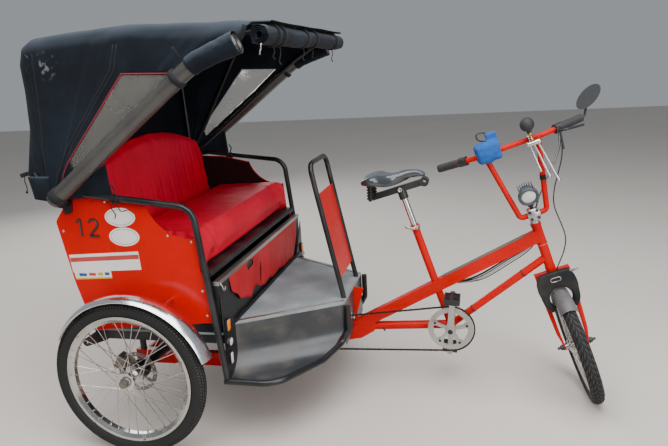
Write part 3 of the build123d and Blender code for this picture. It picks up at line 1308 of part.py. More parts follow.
# Every piece is written with the origin under the middle of the vehicle
os.makedirs("parts", exist_ok=True)
rearmost = min(piece.bounding_box().min.X for piece in pieces.values())
foremost = max(piece.bounding_box().max.X for piece in pieces.values())
middle = Location((-(rearmost + foremost) / 2, 0, 0))
for name, piece in pieces.items():
    placed = piece.moved(middle)
    placed.label = name
    export_step(placed, f"parts/{name}.step")
print("nodes", len(pieces), "origin ahead of the rear axle by", round((rearmost + foremost) / 2, 3))
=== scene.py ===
# %% [markdown]
# # A cycle rickshaw, dressed in Blender
#
# The hard parts come from the CAD model as a fixed frame. This script adds what CAD leaves
# plain: paint and plating, tyre treads, chains, cloth, cushions, cables and small trim.
# Each step says what the real piece is and how it is made here.

import json
from itertools import product
from math import asin, atan2, cos, degrees, pi, radians, sin, sqrt

import bmesh
import bpy
from mathutils import Matrix, Vector, noise


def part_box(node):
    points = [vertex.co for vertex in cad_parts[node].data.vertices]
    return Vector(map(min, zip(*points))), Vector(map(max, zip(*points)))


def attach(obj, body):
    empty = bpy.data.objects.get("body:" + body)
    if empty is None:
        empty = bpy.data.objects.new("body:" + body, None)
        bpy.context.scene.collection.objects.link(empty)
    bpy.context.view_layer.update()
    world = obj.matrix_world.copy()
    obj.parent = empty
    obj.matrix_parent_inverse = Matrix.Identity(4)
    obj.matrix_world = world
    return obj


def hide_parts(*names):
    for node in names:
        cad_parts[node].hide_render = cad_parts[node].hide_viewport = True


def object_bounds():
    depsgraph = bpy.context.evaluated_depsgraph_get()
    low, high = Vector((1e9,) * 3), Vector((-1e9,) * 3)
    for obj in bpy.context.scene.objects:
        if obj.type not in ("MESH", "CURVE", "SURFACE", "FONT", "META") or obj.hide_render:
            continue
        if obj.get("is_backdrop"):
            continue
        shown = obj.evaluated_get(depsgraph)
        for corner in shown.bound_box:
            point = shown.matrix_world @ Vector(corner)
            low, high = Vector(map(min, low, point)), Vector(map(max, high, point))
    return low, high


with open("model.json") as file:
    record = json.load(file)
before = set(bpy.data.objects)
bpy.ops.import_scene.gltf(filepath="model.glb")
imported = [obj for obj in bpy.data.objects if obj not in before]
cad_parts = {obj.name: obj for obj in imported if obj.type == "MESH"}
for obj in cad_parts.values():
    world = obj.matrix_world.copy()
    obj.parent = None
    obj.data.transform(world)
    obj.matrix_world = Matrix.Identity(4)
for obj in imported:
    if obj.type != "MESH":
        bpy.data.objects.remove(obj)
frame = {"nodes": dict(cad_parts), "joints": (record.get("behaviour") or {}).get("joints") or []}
cad_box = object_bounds()
nodes = frame["nodes"]

# %% [markdown]
# Distances are easiest to read as they were measured on the vehicle: millimetres from the
# rear axle, forward, left and up. The frame's origin lies under the middle of the vehicle,
# so one shift turns such a point into the frame's metres. The shift follows from the rear
# tyre, whose middle is the rear axle.

# %% Points on the vehicle
tyre_low, tyre_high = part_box("rear_tyre_right")
REAR_AXLE_X = (tyre_low.x + tyre_high.x) / 2
MM = 0.001


def at(x, y, z):
    """A point in metres from millimetres ahead of the rear axle, to the left and up."""
    return Vector((REAR_AXLE_X + x * MM, y * MM, z * MM))


print("rear axle at", round(REAR_AXLE_X, 4))

# %% [markdown]
# The steering parts were drawn upright and then leaned back with the head tube and turned.
# The same frame serves here: forward, left and up of the steering, from the steering joint
# that the record holds.

# %% The steering's own axes
PARKED_TURN = radians(85)
steering_joint = next(j for j in frame["joints"] if j["name"] == "steering_turn")
steer_up = Vector(steering_joint["axis"]).normalized()
ahead = Vector((steer_up.z, 0, -steer_up.x))
steer_forward = ahead * cos(PARKED_TURN) - Vector((0, 1, 0)) * sin(PARKED_TURN)
steer_left = steer_up.cross(steer_forward)
steer_origin = Vector(steering_joint["pos_m"])


def on_steering(forward, left, up):
    """A point in metres from millimetres in the steering's own frame."""
    return steer_origin + (steer_forward * forward + steer_left * left + steer_up * up) * MM


print("steering origin", [round(v, 4) for v in steer_origin])

# %% [markdown]
# The camera is a phone held at eye height on the rider's right. Its place, direction and
# lens were worked out from the lines of the vehicle. A camera looks along its own -Z, so its
# axes are written down as a matrix: right, up and backwards.

# %% Camera
CAMERA_AT = at(1322.2, -2636.3, 1438.9)
YAW, PITCH, ROLL = radians(13.577), radians(13.936), radians(-3.334)
FOCAL_PIXELS, PHOTO_WIDTH, SENSOR = 629.87, 668, 36

forward = Vector((-sin(YAW) * cos(PITCH), cos(YAW) * cos(PITCH), -sin(PITCH)))
level_right = Vector((cos(YAW), sin(YAW), 0))
level_up = level_right.cross(forward)
right = cos(ROLL) * level_right + sin(ROLL) * level_up
up = cos(ROLL) * level_up - sin(ROLL) * level_right
camera_data = bpy.data.cameras.new("phone_camera")
camera_data.sensor_width = SENSOR
camera_data.lens = FOCAL_PIXELS / PHOTO_WIDTH * SENSOR
camera = bpy.data.objects.new("phone_camera", camera_data)
bpy.context.scene.collection.objects.link(camera)
turn = Matrix((right, up, -forward)).transposed().to_4x4()
camera.matrix_world = Matrix.Translation(CAMERA_AT) @ turn
bpy.context.scene.camera = camera
print("lens", round(camera_data.lens, 2), "mm")

# %% [markdown]
# The street light was an even, bright overcast sky. A big soft lamp overhead and a pale
# world give that: soft shadows under the vehicle and long highlights on the tubes.

# %% Light
SKY, SKY_STRENGTH = "#DDE3EA", 0.42
# Name, place, the point it faces, the side of its square in metres and its power in watts
LAMPS = [
    ("sky_lamp", (0.4, -1.5, 4.2), (0, 0, 0.6), 4.5, 360),
    ("street_lamp", (3.4, -3.2, 2.2), (0.2, 0, 0.6), 2.6, 130),
    ("back_lamp", (-3.0, 3.4, 2.8), (0, 0, 0.8), 3.0, 110),
]


def linear(hex_colour):
    """Turns an sRGB hex colour to the linear values that shaders use."""
    channels = [int(hex_colour[i:i + 2], 16) / 255 for i in (1, 3, 5)]
    return [c / 12.92 if c <= 0.04045 else ((c + 0.055) / 1.055) ** 2.4 for c in channels] + [1]


for name, place, target, size, power in LAMPS:
    data = bpy.data.lights.new(name, "AREA")
    data.size, data.energy = size, power
    lamp = bpy.data.objects.new(name, data)
    lamp.location = place
    lamp.rotation_euler = (Vector(target) - Vector(place)).to_track_quat("-Z", "Y").to_euler()
    bpy.context.scene.collection.objects.link(lamp)
world = bpy.data.worlds.new("overcast")
world.use_nodes = True
world.node_tree.nodes["Background"].inputs["Color"].default_value = linear(SKY)
world.node_tree.nodes["Background"].inputs["Strength"].default_value = SKY_STRENGTH
bpy.context.scene.world = world
print("lamps", len(LAMPS))

# %% [markdown]
# Every material is a small network of shader nodes. One function adds a node, with its values
# and links, so that each material below reads like a recipe. A pattern's Scale counts its
# spots in a metre, so it is worked out from the size of one spot in millimetres.

# %% Material helpers


def add_node(tree, kind, inputs=None, out=None, **settings):
    """Adds a shader node. Inputs are sockets to link or values, settings are attributes or
    input names. Returns the named output, or else the first one in use."""
    made = tree.nodes.new("ShaderNode" + kind)
    for key, value in settings.items():
        if hasattr(made, key):
            setattr(made, key, value)
        else:
            made.inputs[key.replace("_", " ")].default_value = value
    for key, value in (inputs or {}).items():
        if isinstance(value, bpy.types.NodeSocket):
            tree.links.new(value, made.inputs[key])
        else:
            made.inputs[key].default_value = value
    return made.outputs[out] if out else next((o for o in made.outputs if o.enabled), None)


def spots(size):
    """The Scale of a pattern whose spots are that many millimetres wide."""
    return 1 / (size * MM)


def new_material(name):
    """An empty material, with its node tree and the object coordinates."""
    material = bpy.data.materials.new(name)
    material.use_nodes = True
    material.node_tree.nodes.clear()
    return material, material.node_tree, add_node(material.node_tree, "TexCoord", out="Object")


def surface(material, inputs, **values):
    """Ends a material with its shader, whose inputs are links or uniform values."""
    shader = add_node(material.node_tree, "BsdfPrincipled", inputs, **values)
    add_node(material.node_tree, "OutputMaterial", {"Surface": shader})
    return material


def two_tone(tree, place, size, low, high, dark, light, detail=4):
    """Mixes two colours by noise between two of its levels; returns the colour and the level."""
    cloud = add_node(
        tree, "TexNoise", {"Vector": place}, Scale=spots(size), Detail=detail, Roughness=0.6
    )
    level = add_node(tree, "MapRange", {"Value": cloud}, From_Min=low, From_Max=high)
    return add_node(
        tree, "Mix", {"Factor": level}, data_type="RGBA", A=linear(dark), B=linear(light)
    ), level


print("material helpers ready")

# %% [markdown]
# ## Paint
#
# The tubes and panels are steel with a baked gloss enamel. A dielectric base with a clear
# coat gives the eye its sharp highlights. Years outdoors add faint fading, a film of dust
# and small chips that show dark primer, so the colour, the roughness and the chips follow
# noise patterns. A painted picture could hold the same, but noise works on any shape.

# %% Enamel on steel
DUST, PRIMER = "#8D8378", "#3B3634"
# Widths in mm of a faded patch, a patch of dust and a chip. Real chips are 1 to 3 mm wide,
# too fine for this picture, so they are drawn at 9 mm.
FADED_PATCH, DUST_PATCH, CHIP_SIZE = 384.6, 142.9, 9


def enamel(name, colour, faded, gloss=0.28, chips=0.66, dust=0.10, shine=0.12):
    """Baked gloss enamel: colour and faded colour, under dust and with chips in it."""
    material, tree, place = new_material(name)
    tone, _ = two_tone(tree, place, FADED_PATCH, 0.35, 0.7, colour, faded)
    film = add_node(tree, "TexNoise", {"Vector": place}, Scale=spots(DUST_PATCH), Detail=6.0)
    dusty = add_node(tree, "MapRange", {"Value": film}, From_Min=0.45, From_Max=0.75, To_Max=dust)
    specks = add_node(tree, "TexNoise", {"Vector": place}, Scale=spots(CHIP_SIZE), Detail=3.0)
    chip = add_node(tree, "MapRange", {"Value": specks}, From_Min=chips, From_Max=chips + 0.03)
    rough = add_node(
        tree, "MapRange", {"Value": film},
        From_Min=0.3, From_Max=0.8, To_Min=gloss - 0.06, To_Max=gloss + 0.22,
    )
    dent = add_node(tree, "Bump", {"Height": chip}, invert=True, Strength=0.25, Distance=0.0006)
    tone = add_node(tree, "Mix", {"Factor": dusty, "A": tone}, data_type="RGBA", B=linear(DUST))
    tone = add_node(tree, "Mix", {"Factor": chip, "A": tone}, data_type="RGBA", B=linear(PRIMER))
    return surface(
        material, {"Base Color": tone, "Roughness": rough, "Normal": dent},
        IOR=1.5, Specular_IOR_Level=shine, Coat_Weight=0.06, Coat_Roughness=0.08,
    )


red_enamel = enamel("red_enamel", "#C40300", "#AE0300", dust=0.015)
panel_enamel = enamel("panel_enamel", "#CA0100", "#BA0100", 0.3, 0.72, 0.008)
black_enamel = enamel("black_enamel", "#0C0D10", "#15171B", 0.3, 0.7, 0.1, 0.4)
# The skirt is the body's black enamel, drawn lighter grey and dustier: partly dust, partly a
# painted sheen.
skirt_enamel = enamel("skirt_enamel", "#1D2024", "#2E3136", 0.34, 0.72, 0.3, 0.6)
lock_enamel = enamel("lock_enamel", "#17191C", "#202327", 0.42, 0.74, 0.12)
guard_enamel = enamel("guard_enamel", "#55575A", "#45474A", 0.36, dust=0.3, shine=0.4)
print("paints ready")

# %% [markdown]
# ## Bright metal
#
# The fenders and rims are chrome plated, the cranks and the stem are cast aluminium, the
# rotors and the gear hub are bare steel. All are metals, so the shader is fully metallic
# and its colour is the metal's own. Handling gives soft scratches, and rain gives brown
# spots, which are rust: rough and not metallic at all.

# %% Metals
RUST = "#6B4127"
# Widths in mm of a dull patch, a cloud of rust spots and a scratch. Scratches are far finer
# in reality and drawn at 4 mm, so that the highlights show them.
DULL_PATCH, RUST_CLOUD, SCRATCH = 181.8, 26.32, 4


def bare_metal(name, colour, shade, rough, rust):
    """A metal surface with a share of rust, from 0 to 1, and fine scratches."""
    material, tree, place = new_material(name)
    tone, _ = two_tone(tree, place, DULL_PATCH, 0.3, 0.72, colour, shade)
    pits = add_node(
        tree, "TexNoise", {"Vector": place}, Scale=spots(RUST_CLOUD), Detail=7.0, Roughness=0.62
    )
    rusted = add_node(
        tree, "MapRange", {"Value": pits}, From_Min=0.72 - 0.3 * rust, From_Max=0.8 - 0.24 * rust
    )
    metal = add_node(tree, "Math", {0: 1, 1: rusted}, operation="SUBTRACT")
    lines = add_node(tree, "TexNoise", {"Vector": place}, Scale=spots(SCRATCH), Detail=4.0)
    worn = add_node(
        tree, "MapRange", {"Value": lines},
        From_Min=0.3, From_Max=0.75, To_Min=rough, To_Max=rough + 0.15,
    )
    rougher = add_node(tree, "Math", {0: worn, 1: rusted}, operation="MAXIMUM")
    bump = add_node(tree, "Bump", {"Height": pits}, Strength=0.12, Distance=0.0005)
    tone = add_node(tree, "Mix", {"Factor": rusted, "A": tone}, data_type="RGBA", B=linear(RUST))
    return surface(
        material, {"Base Color": tone, "Metallic": metal, "Roughness": rougher, "Normal": bump}
    )


fender_chrome = bare_metal("fender_chrome", "#F6F6F8", "#E4E4E7", 0.13, 0.08)
rim_chrome = bare_metal("rim_chrome", "#CFCDCA", "#A9A6A1", 0.14, 0.42)
post_chrome = bare_metal("post_chrome", "#DADADA", "#C4C4C4", 0.1, 0.02)
cast_alloy = bare_metal("cast_alloy", "#BEBCB8", "#A09E9A", 0.32, 0.08)
worn_steel = bare_metal("worn_steel", "#8C8781", "#6E6963", 0.4, 0.55)
chain_steel = bare_metal("chain_steel", "#4A4541", "#33302D", 0.42, 0.5)
print("metals ready")

# %% [markdown]
# ## Rubber and plastic
#
# Tyres are vulcanised rubber with carbon black, dull and a little grey from street dust.
# Grips and the lamp housing are moulded ABS or soft rubber with a fine spark-eroded
# texture, which spreads the highlight. Its grit is a tenth of a millimetre, too fine for
# this picture, so it is drawn at 2 to 6 mm.

# %% Rubber and plastic
DUSTY_PATCH = 111.1


def moulded(name, colour, dusty, rough=0.5, texture=2.2, depth=0.0004, ior=1.5):
    """Moulded rubber or plastic with a fine texture of that many millimetres."""
    material, tree, place = new_material(name)
    tone, level = two_tone(tree, place, DUSTY_PATCH, 0.4, 0.72, colour, dusty)
    grain = add_node(tree, "TexNoise", {"Vector": place}, Scale=spots(texture), Detail=3.0)
    worn = add_node(tree, "MapRange", {"Value": level}, To_Min=rough, To_Max=rough + 0.2)
    bump = add_node(tree, "Bump", {"Height": grain}, Strength=0.5, Distance=depth)
    return surface(
        material, {"Base Color": tone, "Roughness": worn, "Normal": bump}, IOR=ior
    )


tyre_rubber = moulded("tyre_rubber", "#0D0E0F", "#1C1C1B", rough=0.75, texture=3, ior=1.52)
tread_rubber = moulded("tread_rubber", "#26282A", "#4A4743", rough=0.8, texture=3, ior=1.52)
grip_rubber = moulded("grip_rubber", "#1A1B1D", "#2A2B2D", rough=0.6, ior=1.52)
black_plastic = moulded("black_plastic", "#16171A", "#24262A", rough=0.42)
lamp_plastic = moulded("lamp_plastic", "#3A4045", "#4A5055", rough=0.48)
floor_coating = moulded("floor_coating", "#767D80", "#92989A", rough=0.5, texture=5)
clear_lens = moulded("clear_lens", "#D6D8D2", "#BFC2BB", rough=0.12, texture=4, depth=0.0008)
amber_lens = moulded("amber_lens", "#F08A12", "#D9730A", rough=0.14, texture=4, depth=0.0008)
print("mouldings ready")

# %% [markdown]
# ## Cloth, film and upholstery
#
# The hood is acrylic canvas: a plain weave, black, and lighter on its top faces, partly from
# dust and partly from a painted sheen of the sky. Its threads are about half a millimetre
# apart, too fine for this picture, so the weave is drawn at 4 mm. The bench is red PVC
# upholstery with a soft leather grain of 1 to 2 mm, drawn at 5 mm for the same reason. The
# windows and the side curtains are clear PVC film that has gone grey.
#
# One place on the hood's right side is scuffed through to grey threads. It is a noise
# pattern that only shows near that place.

# %% Canvas and upholstery
# The lighter grey-blue of the cloth's top faces is partly dust and partly a painted sheen of the
# sky.
TOP_DUST_AND_SHEEN, BARE_THREAD = "#7C8894", "#6C7276"
SCUFF_AT, SCUFF_REACH = at(-205, -592, 1500), 0.055
WAVE_PER_THREAD = 0.314  # a wave's Scale counts 20 bands in 2 pi metres
# Widths in mm of a patch of dust on cloth, of a worn patch of a cover and of bare threads
CLOTH_PATCH, WORN_PATCH, BARE_PATCH = 312.5, 250, 21.74


def scuff(tree, place, tone):
    """The canvas colour with the scuffed place in it."""
    away = add_node(tree, "VectorMath", {0: place, 1: SCUFF_AT}, operation="DISTANCE")
    near = add_node(tree, "MapRange", {"Value": away}, From_Min=SCUFF_REACH, From_Max=0.01)
    threads = add_node(tree, "TexNoise", {"Vector": place}, Scale=spots(BARE_PATCH), Detail=9.0)
    bare = add_node(tree, "MapRange", {"Value": threads}, From_Min=0.54, From_Max=0.66)
    shown = add_node(tree, "Math", {0: near, 1: bare}, operation="MULTIPLY")
    return add_node(
        tree, "Mix", {"Factor": shown, "A": tone}, data_type="RGBA", B=linear(BARE_THREAD)
    )


def canvas(name, colour, dusty, thread=4.0, dust_and_sheen_on_top=0.0, scuffed=False):
    """Woven cloth, thread in mm, dust in patches, and dust and a painted sheen on its top faces.
    """
    material, tree, place = new_material(name)
    tone, _ = two_tone(tree, place, CLOTH_PATCH, 0.42, 0.8, colour, dusty, detail=8)
    # Faces that look up are mixed towards that colour: partly dust, partly a painted sheen.
    facing = add_node(tree, "NewGeometry", out="Normal")
    top_dust_and_sheen = add_node(
        tree, "MapRange", {"Value": add_node(tree, "SeparateXYZ", {"Vector": facing}, out="Z")},
        From_Min=0.1, From_Max=1.0, To_Max=dust_and_sheen_on_top,
    )
    tone = add_node(
        tree, "Mix", {"Factor": top_dust_and_sheen, "A": tone}, data_type="RGBA", B=linear(TOP_DUST_AND_SHEEN)
    )
    warp, weft = [add_node(
        tree, "TexWave", {"Vector": place}, out="Fac",
        bands_direction=way, Scale=WAVE_PER_THREAD * spots(thread), Distortion=0.6,
    ) for way in ("X", "Z")]
    weave = add_node(tree, "Math", {0: warp, 1: weft}, operation="MULTIPLY")
    bump = add_node(tree, "Bump", {"Height": weave}, Strength=0.35, Distance=0.0009)
    return surface(
        material, {"Base Color": scuff(tree, place, tone) if scuffed else tone, "Normal": bump},
        Roughness=0.9, Specular_IOR_Level=0.2, Sheen_Weight=0.03,
    )


def upholstery(name, colour, shade, rough=0.45, grain=5.0, depth=0.0006, coat=0.0, shine=0.5):
    """PVC leather with a grain of that many millimetres."""
    material, tree, place = new_material(name)
    tone, level = two_tone(tree, place, WORN_PATCH, 0.3, 0.75, colour, shade)
    cells = add_node(tree, "TexVoronoi", {"Vector": place}, Scale=spots(grain), Randomness=1.0)
    bump = add_node(tree, "Bump", {"Height": cells}, Strength=0.25, Distance=depth)
    worn = add_node(tree, "MapRange", {"Value": level}, To_Min=rough, To_Max=rough + 0.12)
    return surface(
        material, {"Base Color": tone, "Roughness": worn, "Normal": bump},
        Coat_Weight=coat, Specular_IOR_Level=shine,
    )


# The hood's top faces take a fifth of the lighter top colour: dust and a painted sheen.
hood_canvas = canvas("hood_canvas", "#0A1018", "#1C2530", dust_and_sheen_on_top=0.2, scuffed=True)
lock_textile = canvas("lock_textile", "#1F4E93", "#2C62AA", thread=3.0)
bench_vinyl = upholstery("bench_vinyl", "#D2002C", "#B60024", shine=0.22)
saddle_skin = upholstery("saddle_skin", "#24282C", "#3A4147", rough=0.26, grain=3.0, coat=0.7)
torn_cloth = upholstery("torn_cloth", "#BE2028", "#9C161E", rough=0.5, shine=0.3)
red_piping = canvas("red_piping", "#8E2A36", "#7A2430", thread=2.0)
web_strap = canvas("web_strap", "#1A1B1E", "#2B2C30", thread=2.5)
print("cloths ready, scuff reach", SCUFF_REACH, "m")

# %% [markdown]
# Clear film lets most light through and glosses at a slant. Old film is grey and hazy. A
# transmissive shader with some roughness gives that haze, and a low alpha would lose the
# gloss. The rolled side curtains are many layers deep, so they look grey-brown and solid.

# %% Film
HAZE_PATCH = 71.43
window_film, tree, place = new_material("window_film")
haze = add_node(tree, "TexNoise", {"Vector": place}, Scale=spots(HAZE_PATCH), Detail=6.0)
worn = add_node(
    tree, "MapRange", {"Value": haze}, From_Min=0.35, From_Max=0.75, To_Min=0.12, To_Max=0.37
)
surface(
    window_film, {"Roughness": worn},
    Base_Color=linear("#D9D6CF"), Transmission_Weight=0.9, IOR=1.1,
)
rolled_film = upholstery(
    "rolled_film", "#2E2D2B", "#484643", 0.24, grain=26, depth=0.004, coat=0.25
)
sticker_vinyl = upholstery("sticker_vinyl", "#E9E6E0", "#D8D3CA", 0.4, grain=8, depth=0.0002)
print("films ready")

# %% [markdown]
# ## The floor
#
# A plain pale floor under the wheels, not part of the vehicle. It is a little warm, as the
# paving was, and matt.

# %% Floor
FLOOR_HALF, STAIN_PATCH = 15, 1428.6
floor_material, tree, place = new_material("pale_floor")
shade = two_tone(tree, place, STAIN_PATCH, 0.2, 0.8, "#C9C3BC", "#C2BBB3")[0]
surface(floor_material, {"Base Color": shade}, Roughness=0.85)
floor_mesh = bpy.data.meshes.new("floor")
corners = [(x * FLOOR_HALF, y * FLOOR_HALF, 0) for x, y in ((-1, -1), (1, -1), (1, 1), (-1, 1))]
floor_mesh.from_pydata(corners, [], [(0, 1, 2, 3)])
floor = bpy.data.objects.new("floor", floor_mesh)
floor_mesh.materials.append(floor_material)
bpy.context.scene.collection.objects.link(floor)
floor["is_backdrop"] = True
print("floor", 2 * FLOOR_HALF, "m")

# %% [markdown]
# ## Making pieces
#
# Most small pieces are one of three things: a shape carried along a path, such as a tube, a
# strap or a seam, a shape turned on a lathe, such as a bolt or a lens, or a box. Helpers make
# these in mesh code from rings of points, and one more turns the mesh into a piece that
# rides on a body.

# %% Paths and rings


def flowing(points, pieces=6):
    """Points of a smooth line through the given ones."""
    points = [Vector(p) for p in points]
    ends = [points[0] * 2 - points[1]] + points + [points[-1] * 2 - points[-2]]
    made = []
    for a, b, c, d in zip(ends, ends[1:], ends[2:], ends[3:]):
        for k in range(pieces):
            t = k / pieces
            bend = (2 * a - 5 * b + 4 * c - d) * t * t + (3 * b - a - 3 * c + d) * t ** 3
            made.append(0.5 * (2 * b + (c - a) * t + bend))
    return made + [points[-1]]


def resample(points, step):
    """Points spaced evenly along a polyline, with its ends kept."""
    points = [Vector(p) for p in points]
    lengths = [(b - a).length for a, b in zip(points, points[1:])]
    count = max(2, round(sum(lengths) / step))
    made = []
    for index in range(count + 1):
        want = sum(lengths) * index / count
        for start, end, length in zip(points, points[1:], lengths):
            if want <= length or end is points[-1]:
                made.append(start.lerp(end, min(1, want / length)))
                break
            want -= length
    return made


def smooth(low, high, value):
    """0 below low, 1 above high and a soft step between them."""
    share = min(1, max(0, (value - low) / (high - low)))
    return share * share * (3 - 2 * share)


def ripple(*place):
    """Smooth noise between -1 and 1 at that place."""
    return noise.noise(Vector(place))


def join_rings(shape, rings, closed=True, capped=True):
    """Faces between rings of points, each ring closed or open, and over both ends."""
    count = len(rings[0])
    for first, second in zip(rings, rings[1:]):
        for k in range(count if closed else count - 1):
            after = (k + 1) % count
            shape.faces.new((first[k], first[after], second[after], second[k]))
    if capped:
        shape.faces.new(list(reversed(rings[0])))
        shape.faces.new(rings[-1])


def sweep(shape, points, profile, side=None, closed=True):
    """Carries a profile of (side, rise) points in mm along a path in metres, without twist.

    The profile is a list, or a function of the step that gives one."""
    points = [Vector(p) for p in points]
    alongs = [
        (points[min(k + 1, len(points) - 1)] - points[max(k - 1, 0)]).normalized()
        for k in range(len(points))
    ]
    side = Vector(side) if side else alongs[0].orthogonal()
    rings = []
    for index, (point, along) in enumerate(zip(points, alongs)):
        side = (side - along * side.dot(along)).normalized()
        rise = along.cross(side)
        outline = profile(index) if callable(profile) else profile
        rings.append([shape.verts.new(point + (side * u + rise * v) * MM) for u, v in outline])
    join_rings(shape, rings, closed, closed)


def swings(sides):
    """The angles of that many even steps round a circle."""
    return [2 * pi * k / sides for k in range(sides)]


def ring_profile(radius, sides=10, flat=None):
    """A round or oval tube's profile."""
    return [(radius * cos(a), (flat or radius) * sin(a)) for a in swings(sides)]


def strap_profile(width, thick):
    """A flat strap's profile, with its edges eased."""
    a, b, ease = width / 2, thick / 2, thick / 3
    return [
        (-a + ease, -b), (a - ease, -b), (a, -b + ease), (a, b - ease),
        (a - ease, b), (-a + ease, b), (-a, b - ease), (-a, -b + ease),
    ]


def turned(shape, base, axis, profile, sides=16):
    """Turns a profile of (radius, height) pairs in mm about an axis, closed at both ends."""
    axis = Vector(axis).normalized()
    side = axis.orthogonal().normalized()
    spokes = [side * cos(a) + axis.cross(side) * sin(a) for a in swings(sides)]
    join_rings(shape, [[
        shape.verts.new(Vector(base) + (axis * height + spoke * radius) * MM) for spoke in spokes
    ] for radius, height in profile])


def add_box(shape, centre, axes, size):
    """Adds a box with the given middle, three axes and size in mm."""
    corners = {}
    for key in product((-1, 1), repeat=3):
        shift = [Vector(a) * s * e / 2 for a, s, e in zip(axes, size, key)]
        corners[key] = shape.verts.new(Vector(centre) + sum(shift, Vector()) * MM)
    for axis, end in product(range(3), (-1, 1)):
        loop = [(-1, -1), (1, -1), (1, 1), (-1, 1)]
        shape.faces.new([corners[p[:axis] + (end,) + p[axis:]] for p in loop])


def flat_plate(shape, outline, depths):
    """A flat plate from an outline in X and Z, between two depths in Y."""
    join_rings(shape, [[shape.verts.new(at(x, y, z)) for x, z in outline] for y in depths])


WORLD_AXES = (Vector((1, 0, 0)), Vector((0, 1, 0)), Vector((0, 0, 1)))
STEER_AXES = (steer_forward, steer_left, steer_up)
SIDES = (("right", -1), ("left", 1))
print("shape helpers ready")

# %% Pieces


def piece(name, shape, material, body="frame", slot=None, smooth=True, replaces=None):
    """Turns a bmesh, or a ready curve, into a piece that rides on a body."""
    if isinstance(shape, bmesh.types.BMesh):
        bmesh.ops.recalc_face_normals(shape, faces=shape.faces)
        mesh = bpy.data.meshes.new(name)
        shape.to_mesh(mesh)
        shape.free()
        mesh.polygons.foreach_set("use_smooth", [smooth] * len(mesh.polygons))
    else:
        mesh = shape
    mesh.materials.append(material)
    made = bpy.data.objects.new(name, mesh)
    bpy.context.scene.collection.objects.link(made)
    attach(made, body)
    if replaces:
        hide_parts(replaces)
    return made


def soften(made, width, segments=2):
    """Rounds a piece's sharp edges by that many millimetres."""
    edge = made.modifiers.new("eased_edges", "BEVEL")
    edge.width = width * MM
    edge.segments = segments
    edge.limit_method = "ANGLE"
    return made


def thicken(made, thick, offset=0):
    """Gives a sheet its thickness in mm, to both sides or, with offset -1, inwards."""
    body = made.modifiers.new("thickness", "SOLIDIFY")
    body.thickness = thick * MM
    body.offset = offset
    return made


def sheet_area(shape):
    """The area of a sheet's faces in square metres."""
    return sum(face.calc_area() for face in shape.faces)


print("piece helpers ready")

# %% [markdown]
# ## Finish of the CAD pieces
#
# Each rigid piece of the frame keeps its shape and only changes its finish. A table says
# which finish each one has.

# %% Give each CAD piece its finish
FINISHES = {
    red_enamel: ["main_frame", "handlebar", "fork", "guard_panel"],
    panel_enamel: ["side_panels", "rear_panel"],
    black_enamel: [
        "body_frame", "seat_box", "side_plates", "armrests", "step_rim", "guard_frame",
        "hood_bows", "rear_axle", "saddle_frame",
    ],
    skirt_enamel: ["skirt"],
    lock_enamel: ["ring_lock"],
    guard_enamel: ["front_guard"],
    fender_chrome: ["fenders"],
    rim_chrome: ["rear_wheel_right", "rear_wheel_left", "front_wheel"],
    post_chrome: ["seatpost", "horn"],
    cast_alloy: ["stem", "cranks", "chainring", "trim_strips"],
    worn_steel: [
        "rear_shaft_right", "rear_shaft_left", "gear_hub", "gear_axle", "differential",
        "calipers",
    ],
    chain_steel: ["drive_chain", "axle_chain"],
    tyre_rubber: ["rear_tyre_right", "rear_tyre_left", "front_tyre"],
    grip_rubber: ["grips", "frame_cables", "bar_cables", "brake_cable"],
    black_plastic: ["controls", "mirror", "pedal_right", "pedal_left"],
    lamp_plastic: ["headlamp"],
    floor_coating: ["floor_pan"],
    hood_canvas: ["hood_cover", "front_roll"],
    rolled_film: ["side_rolls"],
    bench_vinyl: ["seat_cushion", "seat_back"],
    saddle_skin: ["saddle_cover"],
    lock_textile: ["lock_wrap"],
}
finished = 0
for material, names in FINISHES.items():
    for name in names:
        nodes[name].data.materials.clear()
        nodes[name].data.materials.append(material)
        finished += 1
print("finished", finished, "of", len(nodes))

# %% [markdown]
# ## The hood
#
# The hood is one sheet of acrylic canvas, sewn from panels and pulled over three bent tubes
# that fan out from a pivot at the back of the body. The cloth is tight over the tubes and
# slack between them, and it gathers in folds where the fan comes together. It could be
# draped by simulation, but its outline is known, so a grid is laid over the tubes' outline
# with one set of lines along the fan, and the slack and the folds are moved in by noise
# that is stretched along those lines.

# %% Hood outline, in millimetres
HOOD_SIDE, HOOD_ROUND = 592, 60
HOOD_FLAT = HOOD_SIDE - HOOD_ROUND
HOOD_PROFILE = [
    (-352, 1010), (-385, 1105), (-343, 1275), (-337, 1417), (-340, 1510), (-318, 1573),
    (-272, 1600), (-110, 1614), (115, 1624), (380, 1614), (644, 1602),
]
HOOD_EDGE = [
    (644, 1596), (572, 1596), (556, 1548), (372, 1478), (200, 1350), (-10, 1190), (-262, 1000),
    (-360, 993),
]
HOOD_WINDOW = [(92, 1452), (279, 1443), (150, 1336), (-36, 1196), (-146, 1112), (-166, 1150)]
FAN = Vector((-262, 1000))
BOW_LINES = [
    ((-240, 1005), (388, 1480)), ((388, 1480), (560, 1582)), ((-240, 1005), (112, 1604)),
    ((-240, 1005), (-262, 1566)),
]
BOW_TOPS = [-262, 112, 560]
PROFILE_STEP, ROOF_STEPS, ROUND_STEPS, WALL_STEPS = 13, 34, 7, 34
SLACK_ROOF, SLACK_WALL, FOLD = 6, 8, 8
OUT_MOST, IN_MOST = 3.5, -13


def to_line(point, start, end):
    """Distance from a point to a line segment, in two dimensions."""
    start, end = Vector(start), Vector(end)
    run = end - start
    share = min(1, max(0, (point - start).dot(run) / run.length_squared))
    return (point - start - run * share).length


def edge_height(x):
    """Height of the hood's cut edge at that length position."""
    for (x_front, z_front), (x_rear, z_rear) in zip(HOOD_EDGE, HOOD_EDGE[1:]):
        if x_rear <= x <= x_front and x_front > x_rear:
            return z_rear + (z_front - z_rear) * (x - x_rear) / (x_front - x_rear)
    return HOOD_EDGE[-1][1]


